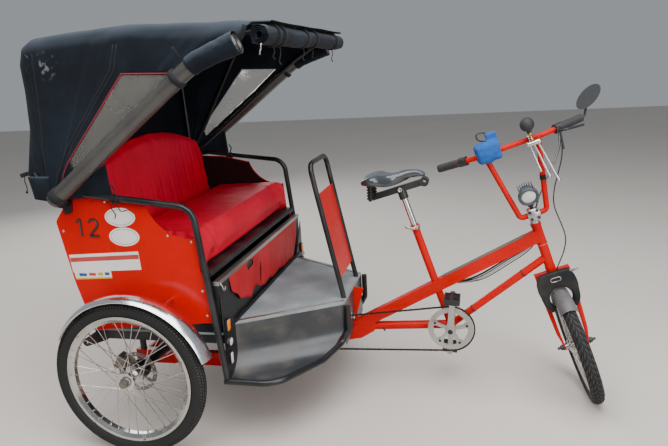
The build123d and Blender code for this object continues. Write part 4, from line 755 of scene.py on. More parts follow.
def hood_line(point, inward):
    """Half of one line across the hood, from its middle over the shoulder to its lower edge."""
    line = [Vector((point.x, HOOD_FLAT * k / ROOF_STEPS, point.y)) for k in range(ROOF_STEPS)]
    for k in range(ROUND_STEPS + 1):
        swing = pi / 2 * k / ROUND_STEPS
        place = point + inward * HOOD_ROUND * (1 - cos(swing))
        line.append(Vector((place.x, HOOD_FLAT + HOOD_ROUND * sin(swing), place.y)))
    shoulder = point + inward * HOOD_ROUND
    run = FAN - shoulder
    fine = 400
    share = 0
    while share < 1:
        step = shoulder + run * (share + 1 / fine)
        if step.y < edge_height(step.x):
            break
        share += 1 / fine
    share = min(share, 0.985)
    for k in range(1, WALL_STEPS + 1):
        place = shoulder + run * share * k / WALL_STEPS
        line.append(Vector((place.x, HOOD_SIDE, place.y)))
    return [v for v in line if v.z >= edge_height(v.x) - 1 or v.y < HOOD_FLAT + 1] or line


def hood_shift(place, outward):
    """Where a point of the tight cloth goes once it hangs slack between the tubes."""
    flat = Vector((place.x, place.z))
    from_bows = min(to_line(flat, *line) for line in BOW_LINES)
    wall = smooth(0.5, 0.95, abs(outward.y))
    slack = smooth(8, 110, from_bows) * SLACK_WALL * wall
    roof = 1 - wall
    top_gap = min(abs(place.x - x) for x in BOW_TOPS)
    slack += roof * smooth(15, 150, top_gap) * SLACK_ROOF * smooth(HOOD_SIDE, 420, abs(place.y))
    fan = flat - FAN
    angle, reach = atan2(fan.y, fan.x), fan.length
    near = smooth(420, 60, reach)
    sway = ripple(angle * 9, reach / 420, place.y / 900)
    fine = ripple(angle * 26, reach / 260, place.y / 500 + 7)
    folds = wall * (sway * FOLD * (0.5 + near) + fine * (2.4 + 5 * near))
    waves = roof * ripple(place.x / 90, place.y / 260, 3) * 3.4
    free = 1 - 0.75 * smooth(24, 6, from_bows) * wall
    return place + outward * min(OUT_MOST, max((folds + waves) * free - slack, IN_MOST))


outline = resample(HOOD_PROFILE, PROFILE_STEP)
width = ROOF_STEPS + ROUND_STEPS + WALL_STEPS + 1
hood_mesh = bmesh.new()
grid = []
for index, point in enumerate(outline):
    before, after = outline[max(index - 1, 0)], outline[min(index + 1, len(outline) - 1)]
    along = (after - before).normalized()
    row = hood_line(point, Vector((along.y, -along.x)))
    row += [row[-1]] * (width - len(row))
    right_half = [hood_mesh.verts.new((v.x, -v.y, v.z)) for v in reversed(row[1:])]
    grid.append(right_half + [hood_mesh.verts.new(v) for v in row])
join_rings(hood_mesh, grid, closed=False, capped=False)
bmesh.ops.remove_doubles(hood_mesh, verts=hood_mesh.verts, dist=0.4)
bmesh.ops.dissolve_degenerate(hood_mesh, dist=0.2, edges=hood_mesh.edges)
print("hood grid", len(hood_mesh.verts), "points,", len(hood_mesh.faces), "faces")

# %% [markdown]
# The side windows are clear film, sewn into the cloth inside a red piping. Each edge of the
# window's outline cuts the side faces of the grid, so the cloth and the film meet along a
# clean line.

# %% Cut the windows, slacken the cloth and build both sheets


def side_faces(depth):
    """The hood's faces within that many millimetres of its side planes, with their middles."""
    for face in hood_mesh.faces:
        middle = face.calc_center_median()
        if abs(middle.y) > HOOD_SIDE - depth:
            yield face, Vector((middle.x, middle.z))


for start, end in zip(HOOD_WINDOW, HOOD_WINDOW[1:] + HOOD_WINDOW[:1]):
    start, end = Vector(start), Vector(end)
    middle, reach = (start + end) / 2, (end - start).length / 2 + 30
    near = [face for face, place in side_faces(0.5) if (place - middle).length < reach]
    edges = {edge for face in near for edge in face.edges}
    points = {vert for face in near for vert in face.verts}
    bmesh.ops.bisect_plane(
        hood_mesh, geom=near + list(edges) + list(points), dist=0.01,
        plane_co=(start.x, 0, start.y), plane_no=(end.y - start.y, 0, start.x - end.x),
    )


def in_window(place):
    """Whether a point of the side lies inside the window's outline."""
    inside = False
    for (x_a, z_a), (x_b, z_b) in zip(HOOD_WINDOW, HOOD_WINDOW[-1:] + HOOD_WINDOW):
        if (z_a > place.y) != (z_b > place.y):
            if place.x < (x_b - x_a) * (place.y - z_a) / (z_b - z_a) + x_a:
                inside = not inside
    return inside


bmesh.ops.recalc_face_normals(hood_mesh, faces=hood_mesh.faces)
hood_mesh.normal_update()
roof_face = max(hood_mesh.faces, key=lambda face: face.calc_center_median().z)
if roof_face.normal.z < 0:
    bmesh.ops.reverse_faces(hood_mesh, faces=hood_mesh.faces)
hood_mesh.normal_update()
moved = {vert: hood_shift(vert.co.copy(), vert.normal.copy()) for vert in hood_mesh.verts}
hood_mesh.faces.index_update()
pane_ids = {face.index for face, place in side_faces(2) if in_window(place)}
all_ids = {face.index for face in hood_mesh.faces}
for vert, place in moved.items():
    vert.co = at(*place)


def hood_sheet(name, wanted, thick, cloth, slot, replaces=None):
    """A sheet with only the wanted faces of the hood's mesh; prints its area."""
    part = hood_mesh.copy()
    part.faces.ensure_lookup_table()
    drop = [face for face in part.faces if face.index not in wanted]
    bmesh.ops.delete(part, geom=drop, context="FACES")
    for face in part.faces:
        face.smooth = True
    area = round(sheet_area(part), 3)
    mesh = bpy.data.meshes.new(name)
    part.to_mesh(mesh)
    part.free()
    made = thicken(piece(name, mesh, cloth, "frame", slot, replaces=replaces), thick, -1)
    print(name, area, "m2")
    return made


hood = hood_sheet(
    "hood_canvas_sheet", all_ids - pane_ids, 1.6, hood_canvas, "hood_cloth",
    "hood_cover",
)
hood_sheet("hood_windows", pane_ids, 0.8, window_film, None)
hood_mesh.free()

# %% [markdown]
# ### Seams, piping and bindings of the hood
#
# The hood's panels are joined by flat seams, the windows are set in a red piping and every
# free edge is bound with tape. A seam is two layers more than the cloth, so it stands a
# millimetre proud and catches the light. Each one is a narrow strip that is carried along
# the cloth, and it takes the cloth's own slack from the same function.

# %% Seams and piping
SIDE_SEAMS = [
    [(78, 1556), (52, 1470), (-60, 1335), (-160, 1212), (-218, 1112), (-250, 1030)],
    [(92, 1556), (66, 1468), (-46, 1333), (-147, 1208), (-207, 1108), (-246, 1030)],
    [(-250, 1545), (-262, 1300), (-270, 1120), (-268, 1030)],
]
ROOF_SEAMS, ROOF_SEAM_HALF, ROOF_SEAM_STEPS, PROUD = (112, 150, 520), 520, 46, 0.6
PIPING = [(286, 1447), (92, 1456), (-40, 1303), (-170, 1150), (-196, 1108), (-216, 1050)]
FRONT_EDGE = [(566, 1588), (552, 1545), (374, 1484), (200, 1356), (-10, 1196), (-240, 1018)]
REAR_EDGE = [(-356, 1092), (-350, 1050), (-330, 1014), (-268, 1003)]


def hood_side(points, side, step, proud=PROUD):
    """A line on the hood's side, on the right (-1) or the left (1), a little off the cloth."""
    outward = Vector((0, side, 0))
    return [
        at(*(hood_shift(Vector((p.x, side * HOOD_SIDE, p.y)), outward) + outward * proud))
        for p in resample(points, step)
    ]


def hood_roof(x, y):
    """A point on the hood's roof."""
    for (x_a, z_a), (x_b, z_b) in zip(HOOD_PROFILE[6:], HOOD_PROFILE[7:]):
        if x_a <= x <= x_b:
            z = z_a + (z_b - z_a) * (x - x_a) / (x_b - x_a)
            return at(*(hood_shift(Vector((x, y, z)), WORLD_AXES[2]) + WORLD_AXES[2] * PROUD))


shape = bmesh.new()
for side, seam in product((-1, 1), SIDE_SEAMS):
    sweep(shape, hood_side(seam, side, 22), strap_profile(6, 1.4), side=(side * 0.8, 0, -0.6))
for x in ROOF_SEAMS:
    shares = [2 * k / ROOF_SEAM_STEPS - 1 for k in range(ROOF_SEAM_STEPS + 1)]
    line = [hood_roof(x, ROOF_SEAM_HALF * share) for share in shares]
    sweep(shape, line, strap_profile(9, 1.4), side=(1, 0, 0))
piece("hood_seams", shape, web_strap, "frame", "hood_cloth")

shape = bmesh.new()
for side in (-1, 1):
    sweep(shape, hood_side(PIPING, side, 14, 1.2), ring_profile(2.4, 8))
piece("window_piping", shape, red_piping, "frame", "hood_cloth")

shape = bmesh.new()
for side, (edge, step, wide) in product((-1, 1), ((FRONT_EDGE, 18, 15), (REAR_EDGE, 12, 13))):
    line = hood_side(edge, side, step, 0.2)
    sweep(shape, line, strap_profile(wide, 3.0), side=(0, side * 0.2, 1))
piece("hood_binding", shape, web_strap, "frame", "hood_cloth")
print("seams", len(SIDE_SEAMS) * 2 + len(ROOF_SEAMS))

# %% [markdown]
# Loose cloth closes the gap between the curtain roll and the side panel: a triangle that is
# tied to the armrest with a bit of webbing, and a flap at the back corner.

# %% Corner cloths and ties
# Name, four corners in X and Z, distance from the middle, grid, cut size and support
PATCHES = [
    ("corner_cloth_", [(-214, 1018), (-30, 1139), (-20, 1014), (-205, 1006)], 574, 14,
     (0.21, 0.13), "side_curtain_"),
    ("rear_flap_", [(-352, 1100), (-262, 1098), (-266, 1000), (-336, 1012)], 597, 10,
     (0.1, 0.12), "hood_canvas_sheet"),
]
# Webbing and cord ends as (x, y, z), with profile and side direction
TIE_LINES = [
    ([(-20, 575, 994), (-28, 580, 972), (-14, 582, 948), (-18, 582, 930)],
     strap_profile(9, 2.0), (0.3, 1, 0.2)),
    ([(-8, 575, 992), (2, 581, 974), (14, 582, 958), (40, 580, 964), (62, 578, 950)],
     strap_profile(9, 2.0), (0.3, 1, 0.2)),
    ([(-12, 575, 1018), (-6, 580, 1040), (-16, 578, 1060)], strap_profile(9, 2.0), (0.3, 1, 0.2)),
    ([(-338, 560, 1100), (-372, 566, 1106), (-404, 572, 1098)],
     strap_profile(16, 2.2), (0, 0, 1)),
    ([(-386, 570, 1100), (-389, 572, 1076), (-383, 573, 1052), (-387, 573, 1036)],
     ring_profile(1.7, 8), None),
]
TIE_RING, CORD_END = 14.2, (-387, 573, 1030)

for (label, side), (name, corners, y, cells, flat, support) in product(SIDES, PATCHES):
    shape = bmesh.new()
    a, b, c, d = [Vector(p) for p in corners]
    rows = []
    for j in range(cells + 1):
        rows.append([])
        for i in range(cells + 1):
            u, v = i / cells, j / cells
            place = a.lerp(b, u).lerp(d.lerp(c, u), v)
            bulge = 7 * sin(pi * u) * sin(pi * v)
            bulge += 3.5 * ripple(place.x / 34, place.y / 70, side * y)
            rows[-1].append(shape.verts.new(at(place.x, side * (y + bulge), place.y)))
    join_rings(shape, rows, closed=False, capped=False)
    area = round(sheet_area(shape), 4)
    patch = thicken(piece(name + label, shape, hood_canvas, "frame", "hood_cloth"), 1.4)
    support += label if support.endswith("_") else ""
    print(patch.name, "area", area)

shape = bmesh.new()
for side in (-1, 1):
    for x, width in ((-24, 15), (-4, 11)):
        z = 1006 - (x + 24) * 0.13
        loop = [
            at(x + 2 * sin(3 * a), side * 567.8 + TIE_RING * cos(a), z + TIE_RING * sin(a))
            for a in [2 * pi * k / 20 for k in range(21)]
        ]
        sweep(shape, loop, strap_profile(width, 2.2), side=(1, 0, 0))
    for points, profile, across in TIE_LINES:
        line = flowing([at(x, side * y, z) for x, y, z in points], 5)
        sweep(shape, line, profile, across and (across[0], side * across[1], across[2]))
    x, y, z = CORD_END
    turned(shape, at(x, side * y, z), (0, 0, 1), [(2, 0), (4.6, 2), (4.6, 7), (2, 9)], 10)
piece("hood_ties", shape, web_strap, "frame", "hood_cloth")
print("ties ready")

# %% [markdown]
# ## Cushions
#
# The bench is foam under a PVC cover that was pulled tight and stapled below. A padded form
# like that is what cloth simulation does well: a mesh a little smaller than the space is
# blown up by pressure, and a cap keeps it from growing too far. The folds that the weight of
# passengers left, and the sewn channels of the back, come after the simulation, because it
# would smooth them away.

# %% Padded forms
FRAMES, PRESSURE = 16, 4.0


def bake(made):
    """Replaces a piece's mesh by what its modifiers make of it."""
    graph = bpy.context.evaluated_depsgraph_get()
    result = bpy.data.meshes.new_from_object(made.evaluated_get(graph), depsgraph=graph)
    made.modifiers.clear()
    made.data = result


def padded_form(name, node, voxel, shrink, cap, material, body="frame"):
    """A cushion in the space of a CAD solid: remeshed, blown up and capped."""
    mesh = nodes[node].data.copy()
    mesh.materials.clear()
    made = bpy.data.objects.new(name, mesh)
    bpy.context.scene.collection.objects.link(made)
    remesh = made.modifiers.new("even_mesh", "REMESH")
    remesh.mode = "VOXEL"
    remesh.voxel_size = voxel * MM
    bake(made)
    even = bmesh.new()
    even.from_mesh(made.data)
    even.normal_update()
    for _ in range(3):
        bmesh.ops.smooth_vert(
            even, verts=even.verts, factor=0.5, use_axis_x=True, use_axis_y=True, use_axis_z=True
        )
    even.normal_update()
    for vert in even.verts:
        vert.co -= vert.normal * shrink * MM
    even.to_mesh(made.data)
    even.free()
    start = [vert.co.copy() for vert in made.data.vertices]
    cloth = made.modifiers.new("cover", "CLOTH")
    cloth.settings.use_pressure = True
    cloth.settings.uniform_pressure_force = PRESSURE
    cloth.settings.effector_weights.gravity = 0
    for frame_number in range(1, FRAMES + 1):
        bpy.context.scene.frame_set(frame_number)
    bake(made)
    bpy.context.scene.frame_set(1)
    low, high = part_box(node)
    for vert, before in zip(made.data.vertices, start):
        move = vert.co - before
        if move.length > cap * MM:
            move = move.normalized() * cap * MM
        vert.co = [min(max(p, a), b) for p, a, b in zip(before + move, low, high)]
    made.data.polygons.foreach_set("use_smooth", [True] * len(made.data.polygons))
    made.data.materials.append(material)
    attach(made, body)
    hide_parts(node)
    print(name, "points", len(made.data.vertices))
    return made


def shift_along_normals(made, amount):
    """Moves each point along its normal by amount(place in mm from the rear axle, normal)."""
    shape = bmesh.new()
    shape.from_mesh(made.data)
    shape.normal_update()
    moves = []
    for vert in shape.verts:
        place = Vector(((vert.co.x - REAR_AXLE_X) / MM, vert.co.y / MM, vert.co.z / MM))
        moves.append(vert.normal * amount(place, vert.normal) * MM)
    for vert, move in zip(shape.verts, moves):
        vert.co += move
    shape.to_mesh(made.data)
    shape.free()


# %% [markdown]
# The back has faint upright channels, where the cover is drawn against the foam, and the
# seat has soft folds that run back from its front edge.

# %% Bench
CHANNEL_GAP, CHANNEL_WIDTH, CHANNEL_DEPTH = 88, 13, 3.2
cushion = padded_form(
    "seat_cushion_pad", "seat_cushion", 9, 7, 24, bench_vinyl
)
back = padded_form("seat_back_pad", "seat_back", 9, 5, 14, bench_vinyl)


def seat_folds(place, normal):
    """Soft folds on top of the cushion and a sag where passengers sit."""
    x, y, z = place
    top, front = smooth(0.3, 0.8, normal.z), smooth(0.3, 0.8, normal.x)
    broad = ripple(x / 260 + 9, y / 210, 1)
    sag = smooth(520, 160, abs(y)) * smooth(-100, 60, x) * smooth(320, 200, x)
    on_top = ripple(x / 150, y / 46, z / 200) * 3.2 + broad * 3 - 5 * sag
    return top * on_top + front * (ripple(y / 24, z / 90, 4) * 1.6 + broad * 2)


def back_channels(place, normal):
    """Upright channels in the front of the back, with fine pull folds between them."""
    x, y, z = place
    lane = (y + CHANNEL_GAP / 2) % CHANNEL_GAP - CHANNEL_GAP / 2
    groove = smooth(CHANNEL_WIDTH, 0, abs(lane)) * smooth(560, 470, abs(y))
    groove *= smooth(1230, 1100, z) * CHANNEL_DEPTH
    folds = ripple(y / 22, z / 240, 2) * 1.3 + ripple(y / 120, z / 160, 6) * 2.6
    return smooth(0.3, 0.8, normal.x) * (folds - groove)


shift_along_normals(cushion, seat_folds)
shift_along_normals(back, back_channels)
print("bench channels every", CHANNEL_GAP, "mm")

# %% [markdown]
# The saddle cover is a moulded skin over foam, wide at the back and with a hump on the nose.
# The sleeve of the folding lock is woven textile wrapped round the handlebar: it is slack,
# so it wrinkles.

# %% Saddle and lock sleeve
saddle = padded_form(
    "saddle_skin_pad", "saddle_cover", 4, 2.5, 6, saddle_skin
)
sleeve = padded_form(
    "lock_sleeve", "lock_wrap", 4, 3, 6, lock_textile, body="steering"
)
shift_along_normals(sleeve, lambda place, _: ripple(*place / 34) * 5 + ripple(*place / 17) * 2.2)
shift_along_normals(saddle, lambda place, _: ripple(*place / 60) * 0.8)
print("saddle and sleeve shaped")

# %% [markdown]
# ## Rolled curtains
#
# The side curtains are clear film with a cloth edge, rolled up and strapped along the front
# bow. The front curtain is rolled up across the hood's front. A rolled sheet is a spiral, so
# it is made as one: an open spiral carried along the roll's line, one sheet from its core to
# its free edge, with lengthwise creases that all its layers share. Each side roll ends in a
# cuff of black canvas at the top, loose and wrinkled towards its open end.

# %% Rolls and cuffs
ROLL_TURNS, ROLL_SIDES = 4, 20
ROLL_LINE = [
    (-236, 1011), (-60, 1144), (120, 1279), (280, 1399), (352, 1452), (400, 1481),
    (470, 1507), (548, 1534),
]
SIDE_ROLL_Y, SIDE_ROLL_RADIUS, SIDE_ROLL_CORE = 626.3, 33.2, 9
FRONT_ROLL_X, FRONT_ROLL_Z, FRONT_ROLL_RADIUS, FRONT_ROLL_CORE = 613, 1555.7, 38.5, 10
FRONT_ROLL_HALF, FRONT_ROLL_STEPS = 598, 90
SIDE_ROLL_LINE = resample(ROLL_LINE, 6)
CUFF_START, CUFF_RADIUS, CUFF_SIDES = 0.80, 34.2, 40


def spiral(radius, core, phase, seed, crease=1.5):
    """A function that gives the spiral outline at a step along a roll."""
    def outline(step):
        made = []
        for k in range(ROLL_TURNS * ROLL_SIDES + 1):
            share = k / (ROLL_TURNS * ROLL_SIDES)
            angle = phase + 2 * pi * ROLL_TURNS * share
            c, s = cos(angle), sin(angle)
            ridge = ripple(c * 1.6, s * 1.6, step / 9 + seed)
            knot = ripple(c * 3.4, s * 3.4, step / 4 + seed + 5)
            spread = core + (radius - crease - core) * share
            spread += (ridge * 0.9 + knot * 0.6) * crease * share
            made.append((spread * c, spread * s))
        return made
    return outline


def cuff(side, steps):
    """A function that gives a cuff's outline, looser and more wrinkled at each step."""
    def outline(step):
        share = step / (steps - 1)
        made = []
        for angle in swings(CUFF_SIDES):
            c, s = cos(angle), sin(angle)
            loose = CUFF_RADIUS + 4.5 * share * share
            loose += ripple(c * 2.2, s * 2.2, step / 3 + side) * (0.4 + 2.6 * share)
            made.append((loose * c, loose * s))
        return made + made[:1]
    return outline


def rolled_sheet(name, line, outline, side, material, thick,
                 replaces=None):
    """A sheet carried along a line in its rolled outline; prints its length and sheet area."""
    shape = bmesh.new()
    sweep(shape, line, outline, side=side, closed=False)
    bmesh.ops.remove_doubles(shape, verts=shape.verts, dist=0.01 * MM)
    area = sheet_area(shape)
    length = sum((b - a).length for a, b in zip(line, line[1:]))
    made = piece(name, shape, material, "frame", "hood_cloth", replaces=replaces)
    thicken(made, thick)
    print(name, "length", round(length, 3), "sheet", round(area, 3), "m2")


for label, side in SIDES:
    line = flowing([at(x, side * SIDE_ROLL_Y, z) for x, z in ROLL_LINE], 12)
    outline = spiral(SIDE_ROLL_RADIUS, SIDE_ROLL_CORE, 0.6 * side, 3 + side)
    rolled_sheet(
        "side_curtain_" + label, line, outline, (0, 1, 0), rolled_film, 0.7,
        replaces="side_rolls",
    )
shares = [2 * k / FRONT_ROLL_STEPS - 1 for k in range(FRONT_ROLL_STEPS + 1)]
line = [at(FRONT_ROLL_X, FRONT_ROLL_HALF * share, FRONT_ROLL_Z) for share in shares]
line = [p + Vector((0, 0, -5 * MM * ripple(p.y * 3, 1, 2))) for p in line]
outline = spiral(FRONT_ROLL_RADIUS, FRONT_ROLL_CORE, 2.4, 11, crease=4)
rolled_sheet(
    "front_curtain", line, outline, (1, 0, 0), hood_canvas, 1.2,
    replaces="front_roll",
)
for label, side in SIDES:
    points = SIDE_ROLL_LINE[round(CUFF_START * len(SIDE_ROLL_LINE)):]
    line = [at(p.x, side * SIDE_ROLL_Y, p.y) for p in points]
    rolled_sheet(
        "roll_cuff_" + label, line, cuff(side, len(line)), (0, 1, 0), hood_canvas, 1.6,
    )

# %% [markdown]
# The rolls are held by webbing straps. The front roll has straps with loose ends, and a zip
# hangs at its near end.

# %% Straps and zip
# Share along a side roll, width and radius of its straps; place and drop of the front ones
SIDE_STRAPS = ((0.03, 34, 31.5), (0.74, 17, 34.2))
FRONT_STRAPS = ((-475, 34), (-405, 52), (-88, 40), (59, 30), (430, 46))
SIDE_TAIL = [(352, 652, 1492), (344, 660, 1512), (332, 661, 1530)]


def band_round(shape, centre, along, radius, width, thick):
    """A band of webbing round a roll."""
    half = width / 2
    turned(shape, centre, along, [
        (radius - 2, -half), (radius + thick, -half + 0.6), (radius + thick, half - 0.6),
        (radius - 2, half),
    ], 30)


shape = bmesh.new()
for side in (-1, 1):
    for share, width, radius in SIDE_STRAPS:
        k = round(share * (len(SIDE_ROLL_LINE) - 2))
        here, ahead_of = [
            at(p.x, side * SIDE_ROLL_Y, p.y) for p in SIDE_ROLL_LINE[k:k + 2]
        ]
        band_round(shape, here, ahead_of - here, radius, width, 2.0)
    tail = flowing([at(x, side * y, z) for x, y, z in SIDE_TAIL], 5)
    sweep(shape, tail, strap_profile(12, 2.2), side=(1, 0, 0.4))
for y, drop in FRONT_STRAPS:
    band_round(shape, at(FRONT_ROLL_X, y, FRONT_ROLL_Z), (0, 1, 0), 38.2, 15, 2.2)
    tail = [(618, y + 4, 1518), (622, y + 8, 1502), (616, y + 2, 1518 - drop),
            (621, y + 10, 1510 - drop)]
    sweep(shape, flowing([at(*p) for p in tail], 5), strap_profile(12, 2.0), side=(0, 1, 0))
piece("roll_straps", shape, web_strap, "frame", "hood_cloth")

shape = bmesh.new()
for y, tilt in ((-604, 0.12), (-597, -0.1)):
    hang = Vector((0.2, tilt, 1)).normalized()
    across = hang.orthogonal().normalized()
    axes = (across, hang.cross(across), hang)
    add_box(shape, at(618, y, 1516), axes, (2.4, 8, 22))
    add_box(shape, at(614, y, 1499), axes, (2.0, 5, 18))
soften(piece("zip_pulls", shape, post_chrome, "frame", "hood_cloth"), 0.8)
print("roll straps ready")

# %% [markdown]
# ## Tyres
#
# A tyre is a rubber carcass with a moulded tread. The rear ones have rows of small square
# blocks, the front one a V pattern that throws water out. The tread could be a bump pattern,
# but its outline shows against the ground, so each block is a small solid. The carcass is
# turned from a profile 3 mm inside the CAD tyre, and the blocks reach the CAD size.

# %% Tyres
TREAD_DEPTH, TREAD_END, BLOCK_EASE = 3.2, 60, 1.2
# Rows of blocks as (angle over the section, its half width, length, skew along the tyre)
ROAD_ROWS = [(a, w, l, 0) for a, w, l in (
    (-53, 8, 8.5), (-32, 7.5, 8.8), (-10.5, 7.5, 9.4), (10.5, 7.5, 9.4), (32, 7.5, 8.8),
    (53, 8, 8.5),
)]
VEE_ROWS = [(-46, 13, 15, -22), (-15, 12, 13, -20), (15, 12, 13, 20), (46, 13, 15, 22)]
REAR_RADIUS, FRONT_RADIUS = 315, 256
# Wheel body, radius, section, half width at the rim, blocks in a row and the rows
TYRES = {
    "rear_tyre_right": ("rear_wheel_right", REAR_RADIUS, 58, 16.7, 152, ROAD_ROWS),
    "rear_tyre_left": ("rear_wheel_left", REAR_RADIUS, 58, 16.7, 152, ROAD_ROWS),
    "front_tyre": ("front_wheel", FRONT_RADIUS, 54, 13.7, 56, VEE_ROWS),
}
BEAD_DEPTH, TURN_STEPS, SECTION_STEPS = 12, 160, 46
RIB_ANGLES, RIB_STEP = ((78, 82), (112, 116)), 0.7
WHEEL_JOINT = {joint["child"]: joint for joint in frame["joints"]}


def wheel_axes(body):
    """A wheel's middle, its axle and a function for its spoke direction at an angle."""
    joint = WHEEL_JOINT[body]
    axle = Vector(joint["axis"]).normalized()
    radial = axle.orthogonal().normalized()
    around = axle.cross(radial)
    return Vector(joint["pos_m"]), axle, lambda swing: radial * cos(swing) + around * sin(swing)


def sidewall(angle):
    """How far the carcass lies inside the round section at that angle from the tread."""
    angle = abs(angle)
    if angle < TREAD_END:
        return TREAD_DEPTH
    on_rib = any(low < angle < high for low, high in RIB_ANGLES)
    return max(0.0 if on_rib else RIB_STEP, TREAD_DEPTH * (1 - (angle - TREAD_END) / 12))


for node, (body, radius, section, neck, count, rows) in TYRES.items():
    hub, axle, spoke = wheel_axes(body)
    half = section / 2

    def on_tyre(turn, angle, inside):
        """A point on the tyre, by turn and section angle in degrees and depth in mm."""
        lean = radians(angle)
        reach = radius - half + (half - inside) * cos(lean)
        return hub + (spoke(radians(turn)) * reach + axle * (half - inside) * sin(lean)) * MM

    shape = bmesh.new()
    bead = 180 - degrees(asin(neck / half))
    angles = [-bead + 2 * bead * k / SECTION_STEPS for k in range(SECTION_STEPS + 1)]
    bead_reach = radius - section + BEAD_DEPTH * 2 / 3 - TREAD_DEPTH * 3
    rings = []
    for turn in [360 * step / TURN_STEPS for step in range(TURN_STEPS)]:
        ring = [shape.verts.new(on_tyre(turn, a, sidewall(a))) for a in angles]
        for side in (1, -1):
            place = hub + (spoke(radians(turn)) * bead_reach + axle * neck * side) * MM
            ring.append(shape.verts.new(place))
        rings.append(ring)
    join_rings(shape, rings + rings[:1], capped=False)
    per_mm = degrees(1 / radius)
    for index, (row, (angle, spread, length, skew)) in product(range(count), enumerate(rows)):
        turn = 360 * (index + 0.5 * (row % 2)) / count
        tops, feet = [], []
        for share, end in product((-1, 0, 1), (-1, 1)):
            middle = turn + skew * share * 0.5 * per_mm
            reach = end * per_mm / 2
            feet.append(shape.verts.new(on_tyre(
                middle + length * reach, angle + spread * share, TREAD_DEPTH + 0.4
            )))
            tops.append(shape.verts.new(on_tyre(
                middle + (length - BLOCK_EASE) * reach, angle + (spread - BLOCK_EASE) * share, 0
            )))
        shape.faces.new((tops[0], tops[1], tops[3], tops[2]))
        shape.faces.new((tops[2], tops[3], tops[5], tops[4]))
        rim = [0, 1, 3, 5, 4, 2]
        for a, b in zip(rim, rim[1:] + rim[:1]):
            shape.faces.new((tops[a], tops[b], feet[b], feet[a]))
    tread = piece(
        node + "_tread", shape, tyre_rubber, body, "tyre_rubber", smooth=False, replaces=node
    )
    carcass = TURN_STEPS * len(rings[0])
    faces = range(len(tread.data.polygons))
    tread.data.polygons.foreach_set("use_smooth", [k < carcass for k in faces])
    # The first two faces of each block are its road face, which is worn and dusty.
    tread.data.materials.append(tread_rubber)
    tread.data.polygons.foreach_set(
        "material_index", [int(k >= carcass and (k - carcass) % 8 < 2) for k in faces]
    )
    print(node, "faces", len(tread.data.polygons))

# %% [markdown]
# ## Chains
#
# A roller chain has links at a pitch of 12.7 mm: pairs of waisted plates, by turns inside and
# outside, joined by pins with rollers. One link is drawn and repeated along the loop, so the
# chain shows its gaps against the light.

# %% Roller chains
PITCH, PLATE_HALF, PLATE_THICK, PLATE_WAIST, CHAIN_MIDDLE = 12.7, 3.7, 1.0, 2.7, 4.3
WRAP_STEPS = 60
# Front sprocket and rear sprocket as (x, z, radius), and the side it runs on
CHAINS = {
    "drive_chain": ((1192, 305, 98), (345, 235, 58), -52),
    "axle_chain": ((345, 235, 58), (0, REAR_RADIUS, 66), 52),
}


def loop_points(front, rear):
    """Pin places round two sprockets, a whole number of pitches apart."""
    large, small = front[2] + CHAIN_MIDDLE, rear[2] + CHAIN_MIDDLE
    run = Vector((front[0] - rear[0], front[1] - rear[1]))
    lean = atan2(run.y, run.x)
    swing = asin((large - small) / run.length)
    path = []
    for (x, z, _), radius, start, turn in (
        (rear, small, pi / 2 + swing, pi - 2 * swing),
        (front, large, -pi / 2 - swing, pi + 2 * swing),
    ):
        for k in range(WRAP_STEPS + 1):
            angle = lean + start + turn * k / WRAP_STEPS
            path.append(Vector((x + radius * cos(angle), z + radius * sin(angle))))
    return resample(path + path[:1], PITCH)[:-1]


for name, (front, rear, y) in CHAINS.items():
    shape = bmesh.new()
    pins = loop_points(front, rear)
    for index, (start, end) in enumerate(zip(pins, pins[1:] + pins[:1])):
        along = (end - start).normalized()
        rise = Vector((-along.y, along.x))
        outline = []
        for centre, way in ((start, 1), (end, -1)):
            for k in range(6):
                angle = way * pi / 2 + pi * k / 5
                outline.append(centre + (along * cos(angle) + rise * sin(angle)) * PLATE_HALF)
            outline.append(start.lerp(end, 0.5) - rise * PLATE_WAIST * way)
        offset = 1.7 if index % 2 else 2.5
        for side in (-1, 1):
            depths = (y + side * offset, y + side * (offset + PLATE_THICK))
            flat_plate(shape, outline, depths)
        turned(shape, at(start.x, y - 3.5, start.y), (0, 1, 0), [(1.8, 0), (1.8, 7)], sides=6)
        turned(shape, at(start.x, y - 1.5, start.y), (0, 1, 0), [(3.4, 0), (3.4, 3)], sides=8)
    piece(
        name + "_links", shape, chain_steel, "frame", "chain_steel", smooth=False, replaces=name
    )
    print(name, len(pins), "links")

# %% [markdown]
# ## Cables
#
# Brake, gear and lamp cables leave the handlebar's left controls, gather at the head tube
# and run on in a bundle under the beam. A cable has a smooth bend everywhere, so each one is
# a curve of its own through a few points beside the bundle's middle line, and the cables
# cross over each other a little, as tied ones do. The front brake's cable loops out alone.

# %% Cable bundles
BEAM_FRONT, BEAM_REAR = Vector((1555.4, 0, 716.1)), Vector((700, 0, 249))
BEAM_LINE = (BEAM_FRONT - BEAM_REAR).normalized()
BEAM_DOWN = Vector((BEAM_LINE.z, 0, -BEAM_LINE.x))
BAR_Z = 553
CABLE_DEPTH, CABLE_WANDER = 32.3, 1.3
# Under the beam, as (way back from the head tube, side, sag)
FRAME_CABLES = [
    (-9, 30, -82), (-3, 31, -48), (18, 32, -19), (52, 31, -2), (100, 29, 3), (150, 27, 5),
    (198, 21, 9), (250, 13, 13), (302, 9, 15), (354, 10, 9), (402, 12, 0),
]
